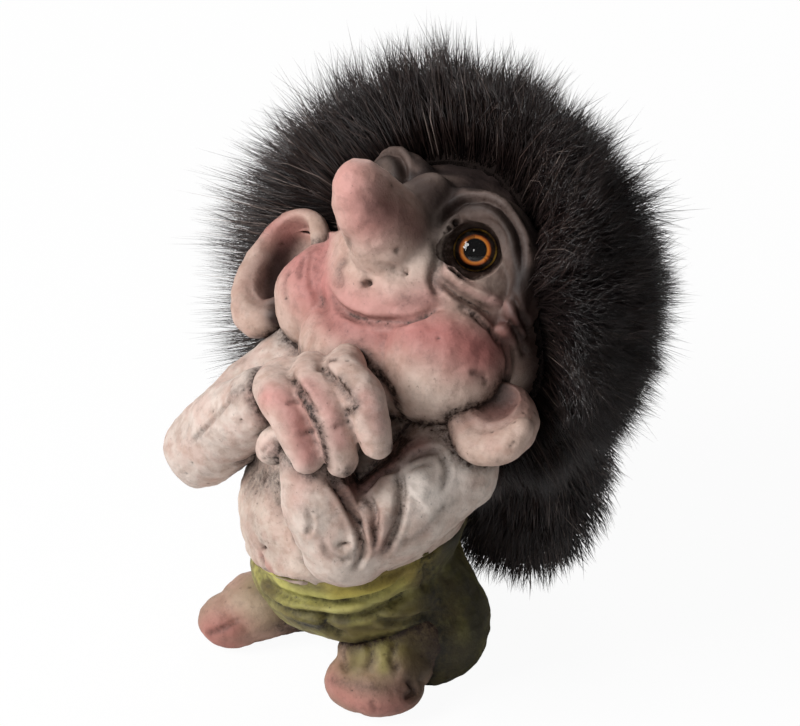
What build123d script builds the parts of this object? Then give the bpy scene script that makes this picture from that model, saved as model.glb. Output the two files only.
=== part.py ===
from build123d import *

import math
import os
from copy import deepcopy
from functools import cache

# A hand-cast troll figure that gazes upwards with its hands folded under its chin.
#
# Lengths are in millimetres. The figure faces -Y, its own left side is +X and up is +Z. It stands on Z = 0,
# and the origin is under the middle of the whole figure, hair included. The castings are hollow and open into
# each other at the waist and the neck, down to the pour hole between the legs. The head is drawn upright in a
# frame of its own, and is then tipped back. A name that ends in share or shares holds parts of the size that
# it is used with.

# Driving sizes
torso_radius = 25.0
head_radius = 28.0
head_tilt = 45.0
foot_length = 40.0
eye_diameter = 10.0
fur_depth = 21.0
wall = 5.0
glue_gap = 0.15
soft_gap = 0.3
figure_forward = 22.9
overrun = 120.0
quarter_turn = 90

# Torso, in torso_radius from the middle of the stance
belly_place_shares = (0.0, 0.0, 1.56)
belly_size_shares = (1.04, 1.02, 0.84)
chest_place_shares = (0.0, 0.06, 2.04)
chest_size_shares = (0.98, 0.88, 0.72)
shoulders_place_shares = (0.04, 0.24, 2.4)
shoulders_size_shares = (1.06, 0.56, 0.48)
navel_place_shares = (0.0, -1.06, 1.54)
navel_size_shares = (0.07, 0.09, 0.06)
waist_height_share = 1.26
waist_lean_ahead = 2.9
waist_lean_aside = -16.7

# Trousers, in torso_radius
hips_place_shares = (0.0, 0.04, 0.92)
hips_size_shares = (0.98, 0.94, 0.58)
left_leg_place_shares = ((0.4, 0.24, 0.8), (0.5, 0.3, 0.62), (0.58, 0.34, 0.46))
left_leg_girth_shares = (0.6, 0.6, 0.57)
right_leg_place_shares = ((-0.3, 0.12, 0.8), (-0.32, 0.12, 0.62), (-0.36, 0.12, 0.46))
right_leg_girth_shares = (0.5, 0.5, 0.48)
cuff_height = 5.0

# Feet, in foot_length
left_foot_place_shares = ((0.24, 0.5, 0.15), (0.36, 0.1, 0.17), (0.45, -0.23, 0.15))
left_foot_girth_shares = (0.22, 0.26, 0.2)
right_foot_place_shares = ((-0.2, 0.48, 0.13), (-0.36, 0.02, 0.15), (-0.49, -0.36, 0.14))
right_foot_girth_shares = (0.19, 0.21, 0.18)
forefoot_size_shares = (0.27, 0.27, 0.17)

# Arms, in torso_radius
left_arm_place_shares = ((1.08, 0.14, 2.44), (1.02, -0.3, 2.16), (0.8, -0.7, 1.88))
left_arm_girth_shares = (0.46, 0.44, 0.4)
left_forearm_place_shares = ((0.76, -0.76, 1.86), (0.58, -0.84, 2.24), (0.42, -0.82, 2.6))
left_forearm_girth_shares = (0.4, 0.37, 0.31)
right_arm_place_shares = ((-0.88, 0.2, 2.52), (-1.08, -0.3, 2.2), (-1.24, -0.7, 1.87))
right_arm_girth_shares = (0.42, 0.4, 0.36)
right_forearm_place_shares = ((-1.2, -0.74, 1.88), (-0.8, -0.74, 2.32), (-0.32, -0.74, 2.8))
right_forearm_girth_shares = (0.36, 0.38, 0.31)

# Hands, in torso_radius
left_fist_place_shares = (0.38, -0.7, 2.74)
left_fist_size_shares = (0.35, 0.37, 0.33)
left_thumb_place_shares = ((0.2, -0.88, 2.74), (0.1, -0.96, 2.66), (0.0, -0.98, 2.56))
left_thumb_girth_shares = (0.2, 0.18, 0.15)
right_palm_place_shares = (-0.04, -0.74, 3.0)
right_palm_size_shares = (0.38, 0.3, 0.34)
right_finger_place_shares = (
    ((0.02, -0.88, 3.1), (0.5, -0.98, 3.04), (0.78, -0.97, 2.68)),
    ((0.14, -0.68, 3.2), (0.66, -0.77, 3.12), (0.86, -0.77, 2.68)),
    ((0.3, -0.48, 3.28), (0.84, -0.51, 3.16), (0.96, -0.52, 2.7)),
)
finger_girth_shares = (0.2, 0.2, 0.17)

# Head, in head_radius and in the upright head's own frame
head_place_shares = (0.0, 1.08, 3.2)
skull_place_shares = (0.0, 0.0, 0.07)
skull_girth_share = 1.05
cheek_place_shares = (0.68, -0.39, -0.43)
cheek_girth_share = 0.515
muzzle_place_shares = (0.0, -0.61, -0.32)
muzzle_size_shares = (0.57, 0.32, 0.32)
chin_place_shares = (0.0, -0.5, -0.71)
chin_size_shares = (0.61, 0.43, 0.39)
nose_place_shares = ((0.0, -0.5, 0.07), (0.0, -0.95, 0.15), (0.0, -1.31, 0.34))
nose_girth_shares = (0.4, 0.32, 0.305)
brow_place_shares = ((0.18, -0.76, 0.76), (0.5, -0.74, 0.88), (0.84, -0.6, 0.7), (1.02, -0.46, 0.34))
brow_girth_shares = (0.12, 0.14, 0.14, 0.12)
lid_place_shares = ((0.22, -0.78, 0.28), (0.48, -0.82, 0.14), (0.8, -0.66, 0.08))
lid_girth_shares = (0.08, 0.1, 0.08)
cavity_place_shares = (0.0, 0.2, 0.07)
cavity_girth_share = 0.77

# Ears, in head_radius: each is a bowl with a thick rim
ear_place_shares = (1.32, -0.27, -0.5)
ear_size_shares = (0.42, 0.25, 0.46)
ear_dish_place_shares = (1.3, -0.5, -0.47)
ear_dish_size_shares = (0.3, 0.26, 0.32)

# Glass eyes, in eye_diameter where they are shares
eye_place_shares = (0.54, -0.66, 0.43)
eye_toe_out = 32.0
eye_lift = 4.0
socket_reach_share = 0.55
socket_girth_share = 0.78
iris_share = 0.94
pupil_share = 0.5
iris_thickness = 0.5
wire_diameter = 0.9
wire_reach = 5.0

# Wig: a knitted cap that carries five fur panels
cap_thickness = 1.0
window_tip_place_shares = (0.0, 0.45, 0.07)
window_flare_share = 1.25
window_low_share = -0.3
wig_place_shares = (0.0, -0.2, 0.14)
crown_split_share = 0.34
side_split_share = 0.5
nape_place_shares = (0.24, 1.96, 1.36)
nape_size_shares = (1.0, 0.64, 1.12)
floor_gap = 1.5

# Pour hole between the legs, and its plug
pour_hole_place_shares = (-0.04, -0.24)
pour_hole_diameter = 6.0
plug_base_share = 0.36
plug_length = 4.0
neck_hole_diameter = 14.0
tip_angles = (72, 45, 20)
pole_turns = (37, 23, 61)


def made_once(make):
    """Makes a form once for each growth and hands out copies, so that a cut into one spares the others."""
    made = cache(make)

    def copy_of(*given):
        return deepcopy(made(*given))

    return copy_of


def by(size, shares):
    """The place or size that shares of one size give."""
    return Vector(*(size * share for share in shares))


def from_stance(size, shares):
    """A point above the floor, counted from the middle of the stance."""
    return by(size, shares) - Vector(0, figure_forward, 0)


def lump(place, size):
    """An egg of the given half sizes. Its poles are turned out of the way of its neighbours."""
    return Pos(*place) * scale(Rot(*pole_turns) * Sphere(1), by=tuple(size))


def limb(places, radii):
    """A round limb that swells and tapers through the places, with domed ends."""
    path = Edge.make_spline(places)
    stations = [path.param_at_point(place) for place in places]
    across = Vector(0, 0, 0)
    for before, at, after in zip(places, places[1:], places[2:]):
        across = across + (at - before).cross(after - at)
    across = across.normalized()

    def section(at, along, radius):
        return Plane(origin=at, x_dir=across - along * across.dot(along), z_dir=along) * Circle(radius)

    start = path.tangent_at(stations[0])
    end = path.tangent_at(stations[-1])
    sections = []
    for angle in tip_angles:
        turn = math.radians(angle)
        at = places[0] - start * radii[0] * math.sin(turn)
        sections.append(section(at, start, radii[0] * math.cos(turn)))
    for place, station, radius in zip(places, stations, radii):
        sections.append(section(place, path.tangent_at(station), radius))
    for angle in reversed(tip_angles):
        turn = math.radians(angle)
        at = places[-1] + end * radii[-1] * math.sin(turn)
        sections.append(section(at, end, radii[-1] * math.cos(turn)))
    return loft(sections)


def body_limb(place_shares, girth_shares, grow=0):
    """A limb in shares of the torso's radius."""
    places = [from_stance(torso_radius, shares) for shares in place_shares]
    return limb(places, [torso_radius * share + grow for share in girth_shares])


def body_lump(place_shares, size_shares, grow=0):
    """An egg in shares of the torso's radius."""
    size = by(torso_radius, size_shares) + Vector(grow, grow, grow)
    return lump(from_stance(torso_radius, place_shares), size)


def mirrored(shares, side):
    """Shares on the figure's left side (1) or right side (-1)."""
    return (side * shares[0], shares[1], shares[2])


def face_limb(place_shares, girth_shares, side=1, grow=0):
    """A limb in shares of the head's radius, in the upright head's frame."""
    places = [by(head_radius, mirrored(shares, side)) for shares in place_shares]
    return limb(places, [head_radius * share + grow for share in girth_shares])


def face_lump(place_shares, size_shares, side=1, grow=0):
    """An egg in shares of the head's radius, in the upright head's frame."""
    size = by(head_radius, size_shares) + Vector(grow, grow, grow)
    return lump(by(head_radius, mirrored(place_shares, side)), size)


def face_ball(place_shares, girth_share, side=1, grow=0):
    """A ball in shares of the head's radius, in the upright head's frame."""
    place = by(head_radius, mirrored(place_shares, side))
    return Pos(*place) * Sphere(head_radius * girth_share + grow)


def tip_back(shape):
    """Carries a shape from the upright head's frame to its place on the figure."""
    return Pos(*from_stance(torso_radius, head_place_shares)) * Rot(-head_tilt, 0, 0) * shape


def fused(shapes):
    """One solid out of overlapping ones."""
    whole = shapes[0]
    for shape in shapes[1:]:
        whole = whole + shape
    return whole


def largest(shape):
    """The main solid of a shape, without the crumbs that a cut leaves."""
    return max(shape.solids(), key=lambda solid: solid.volume)


def open_space():
    """A block larger than the whole figure, about its own middle."""
    return Box(2 * overrun, 2 * overrun, 2 * overrun)


def below(height):
    """All space under a height."""
    return Pos(0, 0, height - overrun) * open_space()


def above_waist():
    """All space above the leaning waist line."""
    middle = from_stance(torso_radius, (0, 0, waist_height_share))
    return Pos(*middle) * Rot(waist_lean_ahead, waist_lean_aside, 0) * Pos(0, 0, overrun) * open_space()


# Head


@made_once
def head_mass(grow=0):
    """Skull, cheeks, muzzle and chin, upright."""
    shapes = [face_ball(skull_place_shares, skull_girth_share, grow=grow)]
    shapes.append(face_lump(muzzle_place_shares, muzzle_size_shares, grow=grow))
    shapes.append(face_lump(chin_place_shares, chin_size_shares, grow=grow))
    for side in (1, -1):
        shapes.append(face_ball(cheek_place_shares, cheek_girth_share, side, grow))
    return fused(shapes)


def face_form():
    """The head without its ears, upright."""
    face = head_mass()
    for side in (1, -1):
        socket = Sphere(socket_girth_share * eye_diameter)
        face = face - eye_frame(side) * Pos(0, 0, socket_reach_share * eye_diameter) * socket
    face = face + face_limb(nose_place_shares, nose_girth_shares)
    for side in (1, -1):
        face = face + face_limb(brow_place_shares, brow_girth_shares, side)
        face = face + face_limb(lid_place_shares, lid_girth_shares, side)
    return face


@made_once
def ear_form(side, grow=0):
    """The outer form of an ear, upright and without its dish."""
    return face_lump(ear_place_shares, ear_size_shares, side, grow)


def eye_frame(side):
    """The frame of an eye, upright: +Z looks out of the head."""
    place = by(head_radius, mirrored(eye_place_shares, side))
    return Pos(*place) * Rot(0, 0, side * eye_toe_out) * Rot(quarter_turn - eye_lift, 0, 0)


def face_window():
    """The space ahead of the hair: it opens forward as a cone, and lower down it reaches behind the ears."""
    tip = by(head_radius, window_tip_place_shares)
    opening = Cone(overrun * window_flare_share, 0, overrun)
    cone = Pos(tip.X, tip.Y - overrun / 2, tip.Z) * Rot(-quarter_turn, 0, 0) * opening
    under_ears = Pos(0, -overrun, window_low_share * head_radius - overrun) * open_space()
    return cone, under_ears


# Castings, from the one that keeps its whole form to the ones that are seated on it


@made_once
def grown_head(grow):
    return tip_back(head_mass(grow))


@made_once
def right_hand_form(grow=0):
    """The palm under the chin and the fingers that hang over the left fist."""
    shapes = [body_lump(right_palm_place_shares, right_palm_size_shares, grow)]
    for place_shares in right_finger_place_shares:
        shapes.append(body_limb(place_shares, finger_girth_shares, grow))
    return fused(shapes)


@made_once
def left_hand_form(grow=0):
    fist = body_lump(left_fist_place_shares, left_fist_size_shares, grow)
    return fist + body_limb(left_thumb_place_shares, left_thumb_girth_shares, grow)


@made_once
def right_arm_form(grow=0):
    upper = body_limb(right_arm_place_shares, right_arm_girth_shares, grow)
    return upper + body_limb(right_forearm_place_shares, right_forearm_girth_shares, grow)


@made_once
def left_arm_form(grow=0):
    upper = body_limb(left_arm_place_shares, left_arm_girth_shares, grow)
    return upper + body_limb(left_forearm_place_shares, left_forearm_girth_shares, grow)


@made_once
def body_form(grow=0):
    """Torso, hips and trouser legs in one, before the waist divides them."""
    shapes = [body_lump(belly_place_shares, belly_size_shares, grow)]
    shapes.append(body_lump(chest_place_shares, chest_size_shares, grow))
    shapes.append(body_lump(shoulders_place_shares, shoulders_size_shares, grow))
    shapes.append(body_lump(hips_place_shares, hips_size_shares, grow))
    shapes.append(body_limb(left_leg_place_shares, left_leg_girth_shares, grow))
    shapes.append(body_limb(right_leg_place_shares, right_leg_girth_shares, grow))
    return fused(shapes)


def foot_form(place_shares, girth_shares):
    """A wedge of a foot with its toes in one blunt end, flat underneath."""
    places = [from_stance(foot_length, shares) for shares in place_shares]
    ball = places[-1]
    ahead = ball - places[0]
    turn = quarter_turn + math.degrees(math.atan2(ahead.Y, ahead.X))
    forefoot = Rot(0, 0, turn) * lump(Vector(0, 0, 0), by(foot_length, forefoot_size_shares))
    foot = limb(places, [foot_length * share for share in girth_shares]) + Pos(*ball) * forefoot
    return foot - below(0)


def pour_hole(radius, base, length):
    """A round plug of space in the seat, upwards from a base height."""
    middle = from_stance(torso_radius, (*pour_hole_place_shares, 0))
    return Pos(middle.X, middle.Y, base + length / 2) * Cylinder(radius, length)


def neck_hole():
    """The way from the hollow of the head into the hollow of the torso."""
    top = from_stance(torso_radius, head_place_shares)
    bottom = from_stance(torso_radius, chest_place_shares)
    length = (top - bottom).length
    way = Plane(origin=bottom, z_dir=top - bottom)
    return way * Pos(0, 0, length / 2) * Cylinder(neck_hole_diameter / 2, length)


def head_casting():
    head = face_form()
    for side in (1, -1):
        frame = eye_frame(side)
        head = head - frame * Sphere(eye_diameter / 2 + glue_gap) - frame * eye_wire(glue_gap)
    head = head - face_ball(cavity_place_shares, cavity_girth_share)
    return largest(tip_back(head) - neck_hole())


def right_ear_casting():
    ear = ear_form(-1) - face_lump(ear_dish_place_shares, ear_dish_size_shares, -1)
    return largest(tip_back(ear - head_mass(glue_gap)))


def right_hand_casting():
    return largest(right_hand_form() - grown_head(glue_gap))


def left_hand_casting():
    return largest(left_hand_form() - right_hand_form(glue_gap) - grown_head(glue_gap))


def right_arm_casting():
    arm = right_arm_form() - right_hand_form(glue_gap) - left_hand_form(glue_gap)
    return largest(arm - grown_head(glue_gap) - tip_back(ear_form(-1, glue_gap)))


def left_arm_casting():
    arm = left_arm_form() - left_hand_form(glue_gap) - right_hand_form(glue_gap) - right_arm_form(glue_gap)
    return largest(arm - grown_head(glue_gap) - tip_back(ear_form(1, glue_gap)))


def hollow_body():
    """The body cast with its cavity, which stops a wall above the cuffs."""
    cavity = body_form(-wall) - below(cuff_height + wall)
    return body_form() - cavity - below(cuff_height)


def torso_casting():
    torso = hollow_body() & above_waist()
    torso = torso - body_lump(navel_place_shares, navel_size_shares)
    for form in (right_arm_form, left_arm_form, right_hand_form, left_hand_form, grown_head):
        torso = torso - form(glue_gap)
    return largest(torso - neck_hole())


def trousers_casting():
    hole = pour_hole(pour_hole_diameter / 2, 0, torso_radius)
    return largest(hollow_body() - above_waist() - hole)


def foot_casting(place_shares, girth_shares):
    """The foot keeps clear of the trousers' leg above the cuff."""
    leg = body_form(glue_gap) - below(cuff_height - glue_gap)
    return largest(foot_form(place_shares, girth_shares) - leg)


def pour_hole_plug():
    base = plug_base_share * torso_radius
    return pour_hole(pour_hole_diameter / 2 - glue_gap, base, plug_length)


# Eyes


def eye_wire(grow=0):
    """The stem from the eye's back into the hollow of the head, about the eye's middle."""
    length = wire_reach + eye_diameter / 2 - iris_thickness
    return Pos(0, 0, -iris_thickness - length / 2) * Cylinder(wire_diameter / 2 + grow, length)


def eye_pieces():
    """A clear dome over a painted iris and pupil, a dark back and its wire, about the eye's middle."""
    ball = Sphere(eye_diameter / 2)
    disc = Pos(0, 0, iris_thickness / 2) * Cylinder(eye_diameter * iris_share / 2, iris_thickness)
    pupil = Pos(0, 0, iris_thickness / 2) * Cylinder(eye_diameter * pupil_share / 2, iris_thickness)
    return {
        "glass": ball - below(0) - disc,
        "back": (ball & below(0)) - eye_wire(),
        "iris": disc - pupil,
        "pupil": pupil,
        "wire": eye_wire(),
    }


# Hair


@made_once
def cap_form(grow=0):
    return face_ball(skull_place_shares, skull_girth_share, grow=soft_gap + cap_thickness + grow)


def wig_cap():
    """The knitted cap behind the hairline."""
    cap = cap_form() - head_mass(soft_gap) - ear_form(1, soft_gap) - ear_form(-1, soft_gap)
    for side in (1, -1):
        cap = cap - face_limb(brow_place_shares, brow_girth_shares, side, soft_gap)
    for space in face_window():
        cap = cap - space
    cap = tip_back(cap)
    for form in (body_form, left_arm_form, right_arm_form):
        cap = cap - form(soft_gap)
    return largest(cap)


def wig_mass():
    """All hair of the head, upright, before it is divided into panels."""
    mass = face_ball(wig_place_shares, skull_girth_share, grow=fur_depth)
    mass = mass - cap_form(soft_gap) - head_mass(soft_gap) - ear_form(1, soft_gap) - ear_form(-1, soft_gap)
    for side in (1, -1):
        mass = mass - face_limb(brow_place_shares, brow_girth_shares, side, soft_gap)
    for space in face_window():
        mass = mass - space
    return mass


def fur_panels():
    """The crown, the two sides and the back, divided by flat seams."""
    mass = wig_mass()
    crown_seam = crown_split_share * head_radius
    back_seam = side_split_share * head_radius
    crown = mass - below(crown_seam)
    lower = mass & below(crown_seam)
    behind = Pos(0, back_seam + overrun, 0) * open_space()
    left_half = Pos(overrun, 0, 0) * open_space()
    beside = lower - behind
    panels = {
        "crown_fur": crown,
        "left_fur": beside & left_half,
        "right_fur": beside - left_half,
        "back_fur": lower & behind,
    }
    cleared = {}
    for name, panel in panels.items():
        panel = tip_back(panel)
        for form in (body_form, left_arm_form, right_arm_form, left_hand_form, right_hand_form):
            panel = panel - form(soft_gap)
        cleared[name] = largest(panel - below(floor_gap))
    return cleared


def nape_fur():
    """The long fall of hair down the back."""
    fall = body_lump(nape_place_shares, nape_size_shares)
    fall = fall - tip_back(face_ball(wig_place_shares, skull_girth_share, grow=fur_depth + soft_gap))
    for form in (body_form, left_arm_form):
        fall = fall - form(soft_gap)
    return largest(fall - below(floor_gap))


def all_nodes():
    nodes = {
        "head_casting": head_casting(),
        "left_ear": mirror(right_ear_casting(), about=Plane.YZ),
        "right_ear": right_ear_casting(),
        "torso_casting": torso_casting(),
        "trousers_casting": trousers_casting(),
        "left_foot": foot_casting(left_foot_place_shares, left_foot_girth_shares),
        "right_foot": foot_casting(right_foot_place_shares, right_foot_girth_shares),
        "left_arm": left_arm_casting(),
        "right_arm": right_arm_casting(),
        "left_hand": left_hand_casting(),
        "right_hand": right_hand_casting(),
        "pour_hole_plug": pour_hole_plug(),
        "wig_cap": wig_cap(),
        "nape_fur": nape_fur(),
    }
    nodes.update(fur_panels())
    for label, side in (("left", 1), ("right", -1)):
        for name, piece in eye_pieces().items():
            nodes[f"{label}_eye_{name}"] = tip_back(eye_frame(side) * piece)
    return nodes


def main():
    os.makedirs("parts", exist_ok=True)
    for name, shape in all_nodes().items():
        export_step(shape, f"parts/{name}.step")


if __name__ == "__main__":
    main()
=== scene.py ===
import math

import bmesh
import bpy
import numpy as np
from mathutils import Matrix, Quaternion, Vector, noise
from mathutils.bvhtree import BVHTree
from mathutils.kdtree import KDTree


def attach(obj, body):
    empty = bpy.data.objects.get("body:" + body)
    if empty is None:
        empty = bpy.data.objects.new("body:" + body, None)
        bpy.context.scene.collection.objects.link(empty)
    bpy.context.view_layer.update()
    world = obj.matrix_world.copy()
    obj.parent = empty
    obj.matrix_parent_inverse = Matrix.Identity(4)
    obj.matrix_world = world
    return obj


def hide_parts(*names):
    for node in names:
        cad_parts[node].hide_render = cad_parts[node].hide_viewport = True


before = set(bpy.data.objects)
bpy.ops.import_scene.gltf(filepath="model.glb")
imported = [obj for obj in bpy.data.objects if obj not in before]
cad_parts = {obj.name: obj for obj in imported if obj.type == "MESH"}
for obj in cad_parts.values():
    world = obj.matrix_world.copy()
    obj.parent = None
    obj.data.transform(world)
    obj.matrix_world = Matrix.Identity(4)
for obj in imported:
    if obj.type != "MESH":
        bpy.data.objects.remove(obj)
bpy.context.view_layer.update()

# The figure is sculpted in millimetres about the middle of its stance, and each finished piece is then
# moved to the frame. FORWARD is how far the frame's origin lies behind that middle.
FORWARD = 22.9
MM = 0.001
TO_FRAME = Matrix.Scale(MM, 4) @ Matrix.Translation((0, -FORWARD, 0))

# Camera, matched to the photograph
CAMERA_AZIMUTH = 48
CAMERA_ELEVATION = 31
CAMERA_DISTANCE = 650
CAMERA_TARGET = (0, 14.3, 69.9)
MM_PER_PIXEL = 0.222
IMAGE_SIZE = (800, 726)
SENSOR = 36
CLIP_END = 20

# Head, in its own upright frame: x to the figure's left, -y ahead, z up
HEAD_CENTRE = (0, 27, 80)
HEAD_TILT = 45

# Glass eyes: where they stand, how far they look outwards and up, their radius, and the socket round each,
# a ball that lies so far ahead of the eye
EYE_PLACE = (15.1, -18.5, 12.0)
EYE_TOE_OUT = 32
EYE_LIFT = 4
EYE_RADIUS = 5.0
SOCKET_RISE = 5.5
SOCKET_RADIUS = 7.35

# Grain of the modelled skins, and how far their soles stay off the floor while they are worked
VOXEL = 0.5
SOLE_LIFT = 0.02

# How strokes fade: how steeply at their ends, from what share, and where a groove's lips and its dark wash
# with painted shade lie, as shares of its width
END_FADE = 5
END_SHARE = 0.25
LIP_OFFSET = 1.9
WASH_AND_SHADE_SPREAD = 1.3

# Dark wash and painted shade in hollows of growing breadth: rounds of smoothing, gain to the millimetre,
# and the least depth
HOLLOWS = ((2, 1.6, 0.02), (12, 0.9, 0.06), (45, 0.81, 0.3))
CONTACT_FALL = 1.2

# Patterns of the paint and the wool, in grains to the millimetre, and the depth of their relief. The grain
# and the wool are drawn about twice as coarse as the real ones, which would be too fine to show.
MOTTLE = 0.16
SMUDGE = 0.33
GRAIN = 0.9
GRAIN_DEPTH = 0.4
WOOL = 0.7
KNIT = 1.8
WOOL_DEPTH = 2

# Waist line, about the stance
WAIST = (0, 0, 31.9)
WAIST_NORMAL = (-0.287, -0.048, 0.957)


# Places and directions


def head_matrix():
    return Matrix.Translation(HEAD_CENTRE) @ Matrix.Rotation(math.radians(-HEAD_TILT), 4, "X")


def on_head(point):
    """A point of the upright head's frame, about the stance."""
    return head_matrix() @ Vector(point)


def camera_axes():
    azimuth = math.radians(CAMERA_AZIMUTH)
    elevation = math.radians(CAMERA_ELEVATION)
    level = math.cos(elevation)
    back = Vector((math.sin(azimuth) * level, -math.cos(azimuth) * level, math.sin(elevation)))
    right = Vector((math.cos(azimuth), math.sin(azimuth), 0))
    return right, back.cross(right), back


def sight_line(pixel):
    """The camera's place and the direction in which it sees a pixel."""
    right, up, back = camera_axes()
    focus = CAMERA_DISTANCE / MM_PER_PIXEL
    across = (pixel[0] - IMAGE_SIZE[0] / 2) / focus
    down = (pixel[1] - IMAGE_SIZE[1] / 2) / focus
    return Vector(CAMERA_TARGET) + back * CAMERA_DISTANCE, (right * across - up * down - back).normalized()


def make_camera():
    data = bpy.data.cameras.new("camera")
    data.sensor_width = SENSOR
    data.lens = SENSOR * CAMERA_DISTANCE / (IMAGE_SIZE[0] * MM_PER_PIXEL)
    data.clip_end = CLIP_END
    camera = bpy.data.objects.new("camera", data)
    bpy.context.scene.collection.objects.link(camera)
    back = camera_axes()[2]
    camera.location = TO_FRAME @ (Vector(CAMERA_TARGET) + back * CAMERA_DISTANCE)
    camera.rotation_mode = "QUATERNION"
    camera.rotation_quaternion = (-back).to_track_quat("-Z", "Y")
    bpy.context.scene.camera = camera


# Clay: lumps and limbs that are fused into one skin


def egg(clay, place, size, turn=(0, 0, 0), at=None):
    """An egg of the given half sizes. at carries it, for one, from the head's frame."""
    size = size if isinstance(size, (tuple, list)) else (size,) * 3
    spin = Quaternion((0, 0, 1), math.radians(turn[2])) @ Quaternion((0, 1, 0), math.radians(turn[1]))
    spin = spin @ Quaternion((1, 0, 0), math.radians(turn[0]))
    matrix = Matrix.LocRotScale(Vector(place), spin, Vector(size))
    bmesh.ops.create_icosphere(clay, subdivisions=4, radius=1, matrix=(at or Matrix()) @ matrix)


def along(points, count):
    """Evenly numbered points on a smooth line through the given ones (each a row of numbers)."""
    points = np.array(points, float)
    last = len(points) - 1
    rows = []
    for step in range(count + 1):
        t = step / count * last
        k = min(int(t), last - 1)
        f = t - k
        before, start, end, after = (points[min(max(k + i, 0), last)] for i in (-1, 0, 1, 2))
        rows.append(
            0.5
            * (
                2 * start
                + (end - before) * f
                + (2 * before - 5 * start + 4 * end - after) * f**2
                + (3 * start - before - 3 * end + after) * f**3
            )
        )
    return np.array(rows)


def limb(clay, places, radii, at=None, steps=9):
    """A limb through the places, as a row of overlapping balls."""
    rows = [(*place, radius) for place, radius in zip(places, radii)]
    for x, y, z, radius in along(rows, steps * (len(rows) - 1)):
        place = (at or Matrix()) @ Vector((x, y, z))
        bmesh.ops.create_icosphere(clay, subdivisions=3, radius=radius, matrix=Matrix.Translation(place))


def fused(name, clay, voxel, softening):
    """One closed skin over the clay, as an object."""
    mesh = bpy.data.meshes.new(name)
    clay.to_mesh(mesh)
    clay.free()
    piece = bpy.data.objects.new(name, mesh)
    bpy.context.scene.collection.objects.link(piece)
    skin = piece.modifiers.new("skin", "REMESH")
    skin.mode = "VOXEL"
    skin.voxel_size = voxel
    skin.use_smooth_shade = True
    soft = piece.modifiers.new("soften", "SMOOTH")
    soft.factor = 0.5
    soft.iterations = softening
    graph = bpy.context.evaluated_depsgraph_get()
    shaped = bpy.data.meshes.new_from_object(piece.evaluated_get(graph))
    piece.modifiers.clear()
    piece.data = shaped
    shaped.name = name
    return piece


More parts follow.
